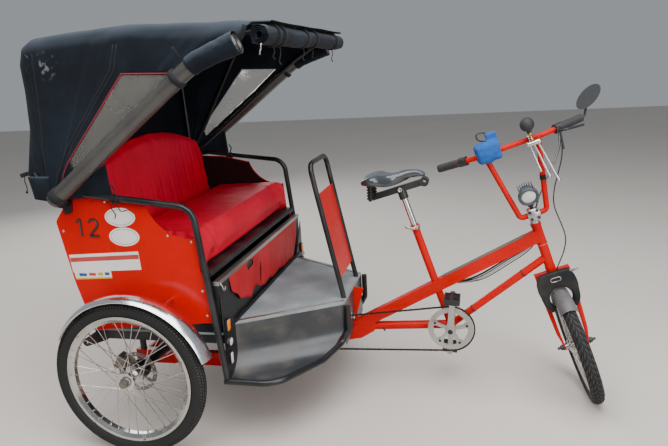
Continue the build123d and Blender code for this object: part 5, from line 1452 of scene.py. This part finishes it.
# On the steering, as (forward, left, up)
BAR_CABLES = [
    (44, 190, 532.4), (42, 184, 498), (36, 158, 452), (24, 118, 398), (8, 78, 345),
    (-8, 42, 296), (-21, 18, 250), (-28, 4, 217),
]
BRAKE_CABLE = [
    (60, 192, 537), (60, 188, 498), (58, 170, 440), (56, 138, 385), (56, 104, 330), (59, 82, 268),
    (60, 88, 200), (60, 92, 130), (60, 70, 80), (53, 44, 42), (42, 25, 14), (30, 17, -7),
    (20.5, 11.4, -18.4),
]
# Place in the bundle as (side, depth), thickness and finish of each cable
FRAME_STRANDS = [
    (-4.0, -3.0, 2.5, 0), (0.6, 2.0, 2.4, 0), (4.0, 9.0, 2.5, 0), (-0.6, 15.0, 2.3, 1),
    (1.0, 23.0, 2.2, 0),
]
BAR_STRANDS = [(-2.6, 0.4, 2.4, 0), (2.6, 0.6, 2.4, 0), (0, 4.4, 2.1, 1)]
cable_black = moulded("cable_black", "#101113", "#1E2022", rough=0.38, texture=6)
cable_grey = moulded("cable_grey", "#8F9698", "#7C8385", rough=0.45, texture=6)


def cable_piece(name, points, radius, grey, body, node):
    """A smooth round cable with the given control points, in metres."""
    curve = bpy.data.curves.new(name, "CURVE")
    curve.dimensions = "3D"
    curve.bevel_depth = radius * MM
    curve.bevel_resolution = 3
    curve.use_fill_caps = True
    line = curve.splines.new("NURBS")
    line.points.add(len(points) - 1)
    for knot, place in zip(line.points, points):
        knot.co = (*place, 1)
    line.order_u = 3
    line.use_endpoint_u = True
    line.resolution_u = 8
    material = cable_grey if grey else cable_black
    piece(name, curve, material, body, "black_rubber", replaces=node)


def strand_paths(route, strands):
    """Number, strand and route of each cable of a bundle, with its wander at each point."""
    for number, strand in enumerate(strands):
        turn = 2 * pi * number / len(strands)
        path = []
        for step, place in enumerate(route):
            swing = 0.55 * step + turn
            path.append((step, place, CABLE_WANDER * cos(swing), CABLE_WANDER * sin(swing)))
        yield number + 1, strand, path


for number, (side, depth, radius, grey), path in strand_paths(FRAME_CABLES, FRAME_STRANDS):
    points = []
    for step, (back_by, y, sag), a, b in path:
        loose = depth * (0.12 + 0.88 * smooth(0.5, 5, step) * smooth(10.5, 7.5, step))
        place = BEAM_FRONT - BEAM_LINE * back_by + BEAM_DOWN * (CABLE_DEPTH + sag + loose + b)
        points.append(at(place.x, y + side * 0.8 + a, place.z))
    cable_piece(f"frame_cable_{number}", points, radius, grey, "frame", "frame_cables")
for number, (side, depth, radius, grey), path in strand_paths(BAR_CABLES, BAR_STRANDS):
    points = [on_steering(x + depth * 0.6 + a, y + side + b, z) for _, (x, y, z), a, b in path]
    cable_piece(f"bar_cable_{number}", points, radius, grey, "steering", "bar_cables")
points = [on_steering(*p) for p in BRAKE_CABLE]
cable_piece("front_brake_cable", points, 2.5, 0, "steering", "brake_cable")
print("cables", len(FRAME_STRANDS) + len(BAR_STRANDS) + 1)

# %% [markdown]
# ## Handlebar fittings
#
# The horn has a rubber bulb on a short brass neck and three chromed trumpets with flared
# mouths. Each is turned on a lathe in reality, and here too. The headlamp is a moulded
# housing with cooling fins over a clear lens. The stem clamps the bar with a round plate and
# four socket bolts. The right grip has a red ring, and the left upright a wrap of black tape.
# Pieces that are only turned come from one table of parts.

# %% Turned pieces on the steering
HORN_X, HORN_Y, BULB_R = 103.1, 78, 27.6
TRUMPETS = [(-13, 118, 8), (3, 152, 18), (19, 176, 30)]
LAMP_AT, LAMP_DROP = (82, 0, 348), 0.45
GRIP_END_X, GRIP_END_Y = -10, 291
BAR_IN = Vector((76, 157, 0)).normalized()
RING_AT, GRIP_RIB_GAP = 92, 8

lamp_axis = (steer_forward - steer_up * LAMP_DROP).normalized()
lamp_rise = (steer_up + steer_forward * LAMP_DROP).normalized()
turned_brass = bare_metal("turned_brass", "#C8A45A", "#A07D3A", 0.22, 0.05)
red_rubber = moulded("red_rubber", "#C41418", "#A81216", rough=0.5)


def grip_part(distance, side, profile):
    """A turned part on the grip of that side, so many millimetres in from the bar's end."""
    place = (
        GRIP_END_X + BAR_IN.x * distance, side * (GRIP_END_Y - BAR_IN.y * distance), BAR_Z
    )
    return place, steer_forward * BAR_IN.x - steer_left * side * BAR_IN.y, profile, 24


bulb = [(9, -35), (9.6, -30), (8.6, -28)]
bulb += [(BULB_R * sin(radians(a)), -BULB_R * cos(radians(a))) for a in range(28, 178, 10)]
trumpets = [((HORN_X, HORN_Y - 24, BAR_Z - 14), steer_left,
             [(6, 0), (9, 1.5), (9.6, 6), (9.6, 48), (9, 52.5), (6, 54)], 16)]
for shift, drop, spread in TRUMPETS:
    axis = steer_forward * 4 + steer_left * spread - steer_up * drop
    long = axis.length
    trumpets.append(((HORN_X, HORN_Y + shift, BAR_Z - 12), axis, [
        (5.2, 0), (6.3, 3), (5.4, 6), (3.6, 12), (3.9, long * 0.5), (4.6, long * 0.8),
        (5.4, long - 9), (6.5, long - 0.5), (6.1, long), (4.6, long - 6),
    ], 16))
trumpets += [
    ((66, HORN_Y - 9, BAR_Z), steer_left,
     [(11.6, 0), (15.2, 0.6), (16, 3), (16, 15), (15.2, 17.4), (11.6, 18)], 20),
    ((79, HORN_Y, BAR_Z), steer_forward, [(5, 0), (5.6, 2), (5.6, 20), (5, 24)], 12),
]
# Name, material, slot, replaced node, and parts as (place, axis, profile, sides)
TURNED = [
    ("horn_bulb", grip_rubber, "black_rubber", "horn",
     [((HORN_X, HORN_Y, 615), steer_up, bulb + [(0.6, BULB_R)], 28)]),
    ("horn_neck", turned_brass, "chrome", "horn",
     [((HORN_X, HORN_Y, BAR_Z - 2), steer_up,
       [(7.5, 0), (8.6, 2), (8.6, 8), (6.4, 10), (6.4, 22), (9, 24), (9, 29), (6, 31)], 18)]),
    ("horn_trumpets", post_chrome, "chrome", "horn", trumpets),
    ("headlamp_lens", clear_lens, "black_plastic", "headlamp",
     [(LAMP_AT, lamp_axis,
       [(29.6, 12), (29.6, 16), (26, 18.4), (18, 20.2), (8, 21), (1, 21.2)], 32)]),
    ("stem_bolts", black_enamel, "black_paint", None,
     [((78.5, y * 14.5, 260 + z * 15), steer_forward,
       [(5.4, 0), (5.8, 1), (5.8, 6), (5.2, 7), (3.4, 7), (3.2, 4.5)], 14)
      for y, z in product((-1, 1), repeat=2)]),
    ("stem_front_plate", cast_alloy, "bright_alloy", None,
     [((77.6, 0, 260), steer_forward, [(25, 0), (26.5, 1.2), (25.5, 2.6), (0.8, 3.2)], 32)]),
    ("grip_ring", red_rubber, "black_rubber", None,
     [grip_part(RING_AT, -1, [(16.2, -3), (17, -2.4), (17, 2.4), (16.2, 3)])]),
    ("grip_ribs", grip_rubber, "black_rubber", None,
     [grip_part(d, side, [(15.6, -2.4), (16.6, -1.6), (16.6, 1.6), (15.6, 2.4)])
      for d, side in product(range(10, 90, GRIP_RIB_GAP), (-1, 1))]),
    ("black_tape", web_strap, "black_rubber", None,
     [((60.8, 61, 300), steer_left * 54 + steer_forward * 6 + steer_up * 293,
       [(11.4, 84), (12.1, 85), (12.3, 92), (12.1, 103), (11.4, 104)], 20)]),
]
for name, material, slot, node, parts in TURNED:
    shape = bmesh.new()
    for place, axis, profile, sides in parts:
        turned(shape, on_steering(*place), axis, profile, sides)
    piece(name, shape, material, "steering", slot, replaces=node)
print("turned pieces", len(TURNED))

# %% [markdown]
# The rest of the headlamp has fins and a bent bracket, and a cord loop holds the lock.

# %% Headlamp housing, bracket and cord loop
lamp_place = on_steering(*LAMP_AT)
shape = bmesh.new()
turned(shape, lamp_place, lamp_axis, [
    (14, -35.5), (21, -34), (25, -31), (29, -22), (34, -10), (38.6, -1), (40.2, 6), (40.2, 19),
    (39, 21.5), (32, 22.5), (30, 18), (29, 8),
], sides=40)
for fin in range(-3, 4):
    rise = lamp_rise * (26 - abs(fin) * 2.4)
    middle = lamp_place + (steer_left * (fin * 9) - lamp_axis * 8 + rise) * MM
    add_box(shape, middle, (lamp_axis, steer_left, lamp_rise), (46, 3, 34))
soften(piece(
    "headlamp_housing", shape, lamp_plastic, "steering", "black_plastic", replaces="headlamp"
), 1.2)

shape = bmesh.new()
foot = [(60, 0, 279.5), (60, 0, 292), (62, 0, 304), (72, 0, 313), (76, 0, 322)]
sweep(shape, [on_steering(*p) for p in foot], ring_profile(7.4, 12), side=steer_left)
turned(
    shape, on_steering(62, -12, 302), steer_left,
    [(4, 0), (7.4, 1), (7.4, 4), (5, 6), (5, 18), (7.4, 20), (7.4, 23), (4, 24)], 14,
)
piece("headlamp_bracket", shape, black_plastic, "steering", "black_plastic", replaces="headlamp")

shape = bmesh.new()
loop = [
    (40, -78, 600), (44, -98, 606), (47, -113, 620), (47, -110, 638), (44, -92, 640),
    (41, -76, 632),
]
sweep(shape, [on_steering(*p) for p in flowing(loop, 6)], ring_profile(3.0, 10))
piece("lock_cord_loop", shape, black_plastic, "steering", "blue_textile")
print("headlamp and loop ready")

# %% [markdown]
# ## Front fork, lock and wheel ends
#
# The ring lock is a moulded black housing over a steel ring: its front plate has a blank
# badge, and its cylinder still holds the key. Axle nuts and their caps sit outside the
# dropouts. Two bands of silver reflecting tape go round the left blade, and a thin silver
# line runs round the head tube.

# %% Fork and lock details
FORK_LENGTH, LOCK_FACE, LOCK_TOP = 343.74, 58.3, -22
LOCK_MIDDLE, LOCK_INNER, LOCK_REAR, LOCK_START, LOCK_SPAN = -114.7, 46, 34, -48, 276
LOCK_RADII = [
    (-48, 75), (0, 76), (14, 80), (34, 97), (48, 113), (58, 124), (64, 124), (72, 118.5),
    (90, 113),
]
BLADE_BANDS = (("blade_band_upper", -136, 9), ("blade_band_lower", -212, 6))

shape = bmesh.new()
badge = [(13 + 8 * cos(radians(a)), 8 * sin(radians(a))) for a in range(-90, 91, 15)]
badge += [(-y, -z) for y, z in badge]
line = [on_steering(LOCK_FACE + 0.8, y, LOCK_TOP - 10 + z) for y, z in badge + badge[:1]]
sweep(shape, line, ring_profile(1.7, 8), side=steer_forward)
piece("lock_badge", shape, cast_alloy, "steering", "bright_alloy")

shape = bmesh.new()
turned(
    shape, on_steering(46, 60, LOCK_TOP + 4), steer_left,
    [(8, 0), (9, 1.4), (9, 8), (7.6, 10), (3, 10.6)], 18,
)
add_box(shape, on_steering(46, 76, LOCK_TOP + 4), STEER_AXES, (2.2, 14, 8))
bow = [(46 + 9 * sin(radians(a)), 90 - 9 * cos(radians(a))) for a in range(0, 361, 24)]
line = [on_steering(x, y, LOCK_TOP + 4) for x, y in bow]
sweep(shape, line, ring_profile(1.6, 8), side=steer_up)
piece("lock_key", shape, worn_steel, "steering", "worn_steel")


def lock_radius(angle):
    """The lock housing's outer radius at that angle, the same on both sides."""
    angle = 180 - angle if angle > 90 else angle
    for (a, near), (b, far) in zip(LOCK_RADII, LOCK_RADII[1:]):
        if a <= angle <= b:
            return near + (far - near) * (angle - a) / (b - a)


shape = bmesh.new()
rings = []
for angle in [LOCK_START + LOCK_SPAN * step / 56 for step in range(57)]:
    c, s, outer = cos(radians(angle)), sin(radians(angle)), lock_radius(angle)
    rings.append([
        shape.verts.new(on_steering(depth, radius * c, LOCK_MIDDLE + radius * s))
        for depth, radius in (
            (LOCK_REAR, LOCK_INNER), (LOCK_FACE - 5, LOCK_INNER), (LOCK_FACE, LOCK_INNER + 6),
            (LOCK_FACE + 1, (LOCK_INNER + outer) / 2), (LOCK_FACE - 1.5, outer - 5),
            (LOCK_FACE - 7, outer), (LOCK_REAR, outer),
        )
    ])
join_rings(shape, rings)
soften(piece(
    "lock_housing", shape, lock_enamel, "steering", "black_paint", replaces="ring_lock"
), 1.5)

shape = bmesh.new()
for side in (-1, 1):
    turned(shape, on_steering(20, side * 52, -FORK_LENGTH), steer_left * side, [
        (15, 0), (15.6, 1), (15.6, 4), (12, 4.6), (12, 14), (10, 15.4), (6.4, 16), (6.2, 26),
        (4.6, 28),
    ], 6)
soften(piece(
    "front_axle_nuts", shape, black_enamel, "steering", "worn_steel", smooth=False
), 0.6)

silver_tape = upholstery("silver_tape", "#C9CCCE", "#B0B4B6", rough=0.3, grain=6, depth=0.0002)
for name, height, wide in BLADE_BANDS:
    shape = bmesh.new()
    line = [on_steering(0, 63, height + d) for d in (-wide / 2, wide / 2)]
    sweep(shape, line, ring_profile(16.6, 18, 10.1), side=steer_forward)
    piece(name, shape, silver_tape, "steering", "red_paint")
shape = bmesh.new()
turned(
    shape, steer_origin + steer_up * 112 * MM, steer_up,
    [(20.2, 0), (20.7, 0.4), (20.7, 3.2), (20.2, 3.6)], 40,
)
piece("head_tube_band", shape, silver_tape, "frame", "red_paint")
print("fork bands", len(BLADE_BANDS))

# %% [markdown]
# The rear wheels turn on shafts with a capped end. Each wheel has a valve, and each spoke
# ends in a nipple at the rim; the nipples and valves are small, but they catch light.

# %% Wheel ends, valves and nipples
SPOKES, NIPPLE_LEAN, VALVE_TURN, HUB_CAP_Y = 36, 0.12, 0.2, 703
# How far the spoke ends and the valve's foot lie inside the tyre's inner edge
NIPPLE_INSET, VALVE_INSET = 30, 59
for body, radius, section, *_ in TYRES.values():
    hub, axle, spoke = wheel_axes(body)
    inner = radius - section
    shape = bmesh.new()
    for k in range(SPOKES):
        outward = spoke(2 * pi * (k + 0.5) / SPOKES)
        turned(
            shape, hub + outward * (inner - NIPPLE_INSET) * MM,
            outward + axle * (NIPPLE_LEAN if k % 2 else -NIPPLE_LEAN),
            [(1.7, 0), (2.1, 1), (2.1, 8), (2.8, 9), (2.8, 11)], 6,
        )
    outward = spoke(VALVE_TURN)
    turned(
        shape, hub + outward * (inner - VALVE_INSET) * MM, outward,
        [(2.6, 0), (4.2, 1.5), (4.2, 12), (3.4, 13), (3.4, 40)], 12,
    )
    piece(body + "_nipples", shape, worn_steel, body, "chrome")
for label, side in SIDES:
    shape = bmesh.new()
    turned(shape, at(0, side * HUB_CAP_Y, REAR_RADIUS), (0, side, 0), [
        (20, -2), (21, 0), (20, 2.5), (14, 4), (12, 3.4), (11, 1.6), (4, 1.6), (3.4, 3),
        (0.8, 3.2),
    ], 28)
    piece("hub_cap_" + label, shape, black_plastic, "rear_wheel_" + label, "black_plastic")
print("spoke nipples", SPOKES * len(TYRES))

# %% [markdown]
# ## Rider's frame details
#
# A grey-brown woven strip along the beam's top face is a painted highlight of the sky on that
# face. Black cable ties go round the tubes, a quick-release lever clamps the seat post, and
# bolts hold the saddle, the crank arms and the chainring.

# %% Highlight strip, ties and bolts
SEAT_TOP, CRANK_CENTRE = Vector((1041, 0, 757)), Vector((1192, 0, 305))
SEAT_LINE = (SEAT_TOP - CRANK_CENTRE).normalized()
SADDLE_CLAMP = SEAT_TOP + SEAT_LINE * 174
CRANK_FACE, SPIDER_FACE, BOLT_CIRCLE, BOLT_TURN = 90.5, -59.8, 72, 86
# A grey-brown colour for the beam's top face: a painted highlight of the sky.
painted_beam_highlight = canvas("painted_beam_highlight", "#5D554D", "#7A7064", thread=2.5)

# The strip lies on the beam's top face and stands for the light on that face.
shape = bmesh.new()
line = [BEAM_FRONT - BEAM_LINE * way - BEAM_DOWN * 25.9 for way in range(52, 446, 16)]
sweep(shape, [at(*p) for p in line], strap_profile(36, 1.6), side=(0, 1, 0))
piece("beam_highlight_strip", shape, painted_beam_highlight, "frame", "red_paint")

shape = bmesh.new()
down_top = (steer_origin + steer_up * 55 * MM - at(0, 0, 0)) / MM
for foot, top, share, radius in (
    (CRANK_CENTRE, down_top, 0.76, 16.2), (CRANK_CENTRE, down_top, 0.24, 16.2),
    (Vector((850, 0, 276)), CRANK_CENTRE, 0.12, 19.2),
):
    along, middle = (top - foot).normalized(), foot.lerp(top, share)
    loop = [(radius, 0), (radius + 1.4, 0.3), (radius + 1.4, 4.3), (radius, 4.6)]
    turned(shape, at(*middle), along, loop, 28)
    knot = middle + Vector((0, -radius - 2, 0)) + along * 2.3
    add_box(shape, at(*knot), WORLD_AXES, (7, 5, 7))
piece("cable_ties", shape, black_plastic, "frame", "black_plastic")

shape = bmesh.new()
collar = [(20.6, 0), (21.8, 0.6), (21.8, 9.4), (20.6, 10)]
turned(shape, at(*(SEAT_TOP - SEAT_LINE * 13)), SEAT_LINE, collar, 32)
lever = [(1053, -25, 749), (1042, -29, 748), (1024, -30, 750), (1004, -27, 756)]
sweep(shape, [at(*p) for p in flowing(lever, 5)], strap_profile(11, 5), side=(0, 0, 1))
turned(shape, at(1053, -31, 749), (0, 1, 0), [(5, 0), (7, 1), (7, 60), (5, 62)], 16)
for side in (-1, 1):
    turned(shape, at(SADDLE_CLAMP.x, side * 24, SADDLE_CLAMP.z - 6), (0, side, 0), [
        (9, -0.5), (10, 0.6), (10, 3.4), (8.6, 4.4), (5, 4.4), (4.6, 2.6), (0.8, 2.6),
    ], 20)
piece("seat_clamp", shape, cast_alloy, "frame", "bright_alloy")

shape = bmesh.new()
for side in (-1, 1):
    turned(
        shape, at(CRANK_CENTRE.x, side * CRANK_FACE, CRANK_CENTRE.z), (0, side, 0),
        [(11, -0.5), (11, 1.2), (8.4, 2), (4.4, 2), (4, 0.8), (0.8, 0.8)], 20,
    )
for k in range(5):
    swing = radians(BOLT_TURN + 72 * k)
    reach = Vector((cos(swing), 0, sin(swing))) * BOLT_CIRCLE
    turned(
        shape, at(CRANK_CENTRE.x + reach.x, SPIDER_FACE, CRANK_CENTRE.z + reach.z), (0, -1, 0),
        [(5.4, -0.3), (5.6, 1.6), (4.8, 2.4), (2.8, 2.4), (2.6, 1.2), (0.6, 1.2)], 14,
    )
piece("crank_bolts", shape, black_enamel, "cranks", "black_paint")
print("ties", 3, "chainring bolts", 5)

# %% [markdown]
# ## Trim of the passenger body
#
# The side panels are bolted to the tubes, carry two oval stickers, a fleet number and two
# labels, and are lined with dark cloth inside. All stickers stay blank or carry a plain
# number. A sticker is a thin sheet of vinyl that lies on the paint, so each is a very thin
# solid a fraction of a millimetre off the panel.

# %% Bolts, stickers and number
PANEL_Y = 555
PANEL_BOLTS = [
    (173, 857), (268, 834), (292, 640), (-70, 991), (-269, 875), (300, 540), (-236, 560),
]
OVALS = ((-14, 930), (-7, 853))
NUMBER_MIDDLE, NUMBER_FOOT, NUMBER_STROKE = -159, 852, 8.5
bow = [(26 + 20 * cos(radians(a)), 51 + 19 * sin(radians(a))) for a in range(160, -60, -20)]
NUMBER_LINES = [
    [(-46, 57), (-30, 71), (-28, 71), (-28, 36), (-28, 2)],
    [(6, 56), *bow, (24, 22), (8, 5), (10, 3)],
    [(6, 4), (27, 4), (48, 4)],
]
zinc = bare_metal("zinc_plate", "#C9C8C4", "#A9A7A1", 0.3, 0.18)
ink, label_red, label_yellow, label_blue = [
    upholstery(name, colour, shade, rough, grain=8, depth=0.0001)
    for name, colour, shade, rough in (
        ("printed_ink", "#2A2422", "#3A302C", 0.5), ("label_red", "#B8443A", "#A83A32", 0.45),
        ("label_yellow", "#D9A520", "#C7941A", 0.45), ("label_blue", "#2B4E96", "#25447F", 0.45),
    )
]
# Name, outline in X and Z, material, thickness and lift off the panel
LABELS = [
    ("wide_label_{}", [(-261, 778), (43, 795), (47, 722), (-254, 706)], sticker_vinyl, 0.35, 0.1),
    ("wide_label_band_{}", [(-258, 766), (42, 783), (43, 765), (-257, 748)], label_red, 0.2, 0.5),
    ("small_label_{}", [(-250, 709), (-86, 718), (-84, 684), (-244, 676)], sticker_vinyl,
     0.4, 0.5),
    ("small_label_edge_{}", [(-244, 682), (-84, 690), (-84, 684), (-244, 676)], label_yellow,
     0.2, 0.95),
]
for index, (start, width, colour) in enumerate((
    (-228, 34, label_blue), (-184, 30, label_red), (-144, 22, label_yellow),
    (-114, 20, label_blue),
)):
    top, foot = [z + 0.05 * (start + 250) for z in (702, 690)]
    block = [(start, top), (start + width, top), (start + width, foot), (start, foot)]
    LABELS.append((f"small_label_block_{{}}_{index + 1}", block, colour, 0.2, 0.95))


def ellipse(centre, half_width, half_height):
    """An ellipse's outline."""
    return [(centre[0] + a, centre[1] + b) for a, b in ring_profile(half_width, 48, half_height)]


for index, centre in enumerate(OVALS):
    outline = ellipse(centre, 64, 37)
    LABELS.append((f"oval_sticker_{{}}_{index + 1}", outline, sticker_vinyl, 0.35, 0.1))

shape = bmesh.new()
for side, (x, z) in product((-1, 1), PANEL_BOLTS):
    bolt = [(5.6, 0), (5.4, 0.8), (4, 1.9), (2.2, 2.3), (0.6, 2.4)]
    turned(shape, at(x, side * PANEL_Y, z), (0, side, 0), bolt, 14)
piece("panel_bolts", shape, zinc, "frame", "bright_alloy")
for label, side in SIDES:
    for name, outline, material, thick, lift in LABELS:
        shape = bmesh.new()
        flat_plate(shape, outline, [side * (PANEL_Y + lift + depth) for depth in (0, thick)])
        piece(name.format(label), shape, material, "frame", "red_paint", smooth=False)
    for index, centre in enumerate(OVALS):
        shape = bmesh.new()
        join_rings(shape, [
            [shape.verts.new(at(x, side * (PANEL_Y + 0.62), z)) for x, z in outline]
            for outline in (ellipse(centre, 57, 30.5), ellipse(centre, 55.4, 29))
        ], capped=False)
        name = f"oval_sticker_{label}_{index + 1}_rim"
        piece(name, shape, ink, "frame", "red_paint", smooth=False)
    shape = bmesh.new()
    for points in NUMBER_LINES:
        line = [
            at(NUMBER_MIDDLE - side * x, side * (PANEL_Y + 0.35), NUMBER_FOOT + z)
            for x, z in points
        ]
        sweep(shape, line, strap_profile(0.5, NUMBER_STROKE), side=(0, side, 0))
    piece("fleet_number_" + label, shape, ink, "frame", "red_paint", smooth=False)
print("bolts", 2 * len(PANEL_BOLTS), "labels", 2 * len(LABELS))

# %% [markdown]
# The inside faces of the panels carry a near-black red woven sheet, which is painted shade on
# those faces. The front of the seat box is black painted board, covered with a red cloth that
# has torn loose at its lower edge.

# %% Painted shade inside the panels, and torn cloth
INNER_SHADE_ARC = ((281, 845), (156, 882), (99, 965))
INNER_SHADE_DEPTHS = (550.7, 550.2)
TORN_EDGE = [
    (-446, 640), (-436, 596), (-392, 572), (-357, 536), (-300, 521), (-240, 500), (-196, 520),
    (-176, 532), (-120, 507), (-60, 494), (10, 503), (60, 489), (150, 498), (240, 482),
    (344, 477), (383, 484), (440, 540), (483, 600),
]
BOARD_FRONT, CLOTH_TOP, TORN_COLUMNS, TORN_ROWS = 354.6, 661, 120, 12
# A near-black red woven sheet just inside each panel: painted shade on the panels' inner faces.
inner_panel_shade = canvas("inner_panel_shade", "#1E0408", "#2A080D", thread=3.0)


def arc_through(start, middle, end, count):
    """Points on the circle arc through three flat points."""
    (ax, ay), (bx, by), (cx, cy) = start, middle, end
    d = 2 * (ax * (by - cy) + bx * (cy - ay) + cx * (ay - by))
    sa, sb, sc = ax * ax + ay * ay, bx * bx + by * by, cx * cx + cy * cy
    ux = (sa * (by - cy) + sb * (cy - ay) + sc * (ay - by)) / d
    uy = (sa * (cx - bx) + sb * (ax - cx) + sc * (bx - ax)) / d
    radius = sqrt((ax - ux) ** 2 + (ay - uy) ** 2)
    first, last = atan2(ay - uy, ax - ux), atan2(cy - uy, cx - ux)
    while last - first > pi:
        last -= 2 * pi
    while first - last > pi:
        last += 2 * pi
    angles = [first + (last - first) * k / count for k in range(count + 1)]
    return [(ux + radius * cos(a), uy + radius * sin(a)) for a in angles]


INNER_SHADE_OUTLINE = [(-214, 1007), (-290, 914), (-254, 708), (290, 708), (281, 845)]
INNER_SHADE_OUTLINE += arc_through(*INNER_SHADE_ARC, 14)[1:] + [(-49, 998)]
# Each panel's inner face is covered by that sheet of painted shade.
for label, side in SIDES:
    shape = bmesh.new()
    flat_plate(shape, INNER_SHADE_OUTLINE, [side * y for y in INNER_SHADE_DEPTHS])
    shape.faces.ensure_lookup_table()
    area = round(shape.faces[-1].calc_area(), 4)
    made = piece(
        "panel_inner_shade_" + label, shape, inner_panel_shade, "frame", "hood_cloth", smooth=False
    )
    print("lining", area, "m2")


def torn_low(y):
    """Height of the torn edge at that place across."""
    for (y_a, z_a), (y_b, z_b) in zip(TORN_EDGE, TORN_EDGE[1:]):
        if y_a <= y <= y_b:
            low = z_a + (z_b - z_a) * (y - y_a) / (y_b - y_a)
    return low + 3.5 * ripple(y / 13, 0, 5)


def in_hole(face):
    """Whether a face lies in one of the cloth's two holes."""
    _, y, z = face.calc_center_median() / MM
    wide_hole = ((y + 214) / 40) ** 2 + ((z - 640) / 17) ** 2 < 1
    return wide_hole or ((y + 96 - (z - 560) * 0.3) / 9) ** 2 + ((z - 560) / 42) ** 2 < 1


shape = bmesh.new()
columns = []
(left, _), (right, _) = TORN_EDGE[0], TORN_EDGE[-1]
for y in [left + (right - left) * i / TORN_COLUMNS for i in range(TORN_COLUMNS + 1)]:
    low = torn_low(y)
    columns.append([])
    for share in [j / TORN_ROWS for j in range(TORN_ROWS + 1)]:
        z = CLOTH_TOP + (low - CLOTH_TOP) * share
        crease = ripple(y / 30, z / 160, 2) * 3 + ripple(y / 90, z / 60, 8) * 4
        loose = max(0.5, 2.2 + crease * (0.2 + 0.8 * share) + 3.5 * share ** 3)
        columns[-1].append(shape.verts.new(at(BOARD_FRONT + loose, y, z)))
join_rings(shape, columns, closed=False, capped=False)
bmesh.ops.delete(shape, geom=[f for f in shape.faces if in_hole(f)], context="FACES")
area = round(sheet_area(shape), 4)
torn = thicken(piece("seat_box_cloth", shape, torn_cloth, "frame", "red_vinyl"), 0.9)
print("torn cloth", area, "m2")

# %% [markdown]
# Where the seat box meets the floor there is a strip of black brush bristles. The plates
# behind the steps carry an amber reflector, a round lamp and a rectangular one on each side.

# %% Brush strip, hook and lamps
BRUSH_Z, BRUSH_TUFTS, TUFT_GAP = 473, 76, 13.1
LAMP_Y = 528.7
shape = bmesh.new()
line = [at(362, y, BRUSH_Z) for y in (-500, 0, 500)]
sweep(shape, line, strap_profile(9, 5), side=(0, 0, 1))
for index in range(BRUSH_TUFTS):
    lean = 0.3 * ripple(index * 1.7, 2, 3)
    axes = [Vector(a).normalized() for a in ((1, 0, 0.3), (0, 1, lean), (-0.3, -lean, 1))]
    add_box(shape, at(366, -498 + index * TUFT_GAP, BRUSH_Z + 4), axes, (5, 7.4, 13))
piece("brush_strip", shape, black_plastic, "frame", "black_plastic", smooth=False)

shape = bmesh.new()
hook = [
    (358, -531, 660), (364, -531, 652), (366, -530, 640), (366, -522, 633), (366, -513, 637),
    (366, -511, 646),
]
sweep(shape, flowing([at(*p) for p in hook], 6), ring_profile(2.6, 10))
turned(shape, at(357.5, -531, 662), (1, 0, 0), [(6, 0), (6, 1.5), (3, 3)], 14)
piece("seat_hook", shape, zinc, "frame", "bright_alloy")

amber, clear, rims = bmesh.new(), bmesh.new(), bmesh.new()
for y in (-LAMP_Y, LAMP_Y):
    add_box(amber, at(369.5, y, 495), WORLD_AXES, (11.5, 24.6, 42.6))
    add_box(rims, at(368, y, 495), WORLD_AXES, (9.6, 28, 47))
    turned(rims, at(364.2, y, 426), (1, 0, 0), [
        (19.6, 0), (20, 1), (20, 9), (18.6, 12.6), (17, 12.9),
    ], 32)
    turned(clear, at(374, y, 426), (1, 0, 0), [
        (17.4, 0), (17.2, 1.8), (13, 4.4), (6, 5.6), (1, 5.8),
    ], 28)
    add_box(rims, at(368, y, 358), WORLD_AXES, (9.6, 23.4, 50))
    add_box(clear, at(369.5, y, 358), WORLD_AXES, (11.5, 17, 42))
for name, shape, material, eased in (
    ("side_reflectors", amber, amber_lens, 1.6), ("side_lamps", clear, clear_lens, 1.4),
    ("side_lamp_rims", rims, black_plastic, 1.2),
):
    soften(piece(name, shape, material, "frame", "black_plastic"), eased)
print("lamps", 6)

# %% [markdown]
# The skirt has a small group of louvres near its front end on each side, and the outline of
# a label that has worn off.

# %% Skirt details
SKIRT_START, SKIRT_END = Vector((362, 450)), Vector((758, 195))
LOUVRES = [(i, j) for i, j in product(range(5), range(4)) if i not in (0, 4) or j not in (0, 3)]
skirt_run = (SKIRT_END - SKIRT_START).normalized()
old_glue = moulded("old_glue", "#4B4A46", "#2C2C2B", rough=0.8, texture=4)


def on_skirt(way, side, z):
    """A point on the skirt's wall, so many millimetres along it."""
    place = SKIRT_START + skirt_run * way
    return at(place.x, side * place.y, z)


shape, worn = bmesh.new(), bmesh.new()
for side in (-1, 1):
    along = Vector((skirt_run.x, side * skirt_run.y, 0)).normalized()
    outward = Vector((-skirt_run.y, side * skirt_run.x, 0)).normalized()
    for column, row in LOUVRES:
        place = on_skirt(348 + column * 11 + row * 2, side, 428 - row * 11) + outward * 0.8 * MM
        tilt = (along + Vector((0, 0, 0.9))).normalized()
        add_box(shape, place, (tilt, outward, tilt.cross(outward)), (9, 2.2, 2.4))
    place = on_skirt(128, side, 424) + outward * 0.3 * MM
    add_box(worn, place, (along, outward, WORLD_AXES[2]), (130, 0.5, 21))
piece("skirt_louvres", shape, worn_steel, "frame", "black_paint", smooth=False)
piece("worn_label", worn, old_glue, "frame", "black_paint", smooth=False)
print("louvres", 2 * len(LOUVRES))

# %% [markdown]
# ## Last measures
#
# Both boxes, the CAD model's and the visual model's, are printed. The visual model must
# stay as large as the CAD model.

# %% Sizes and finish
visual_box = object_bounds()
plain = [[[round(v, 5) for v in corner] for corner in pair] for pair in (cad_box, visual_box)]
print("cad", plain[0], "visual", plain[1])
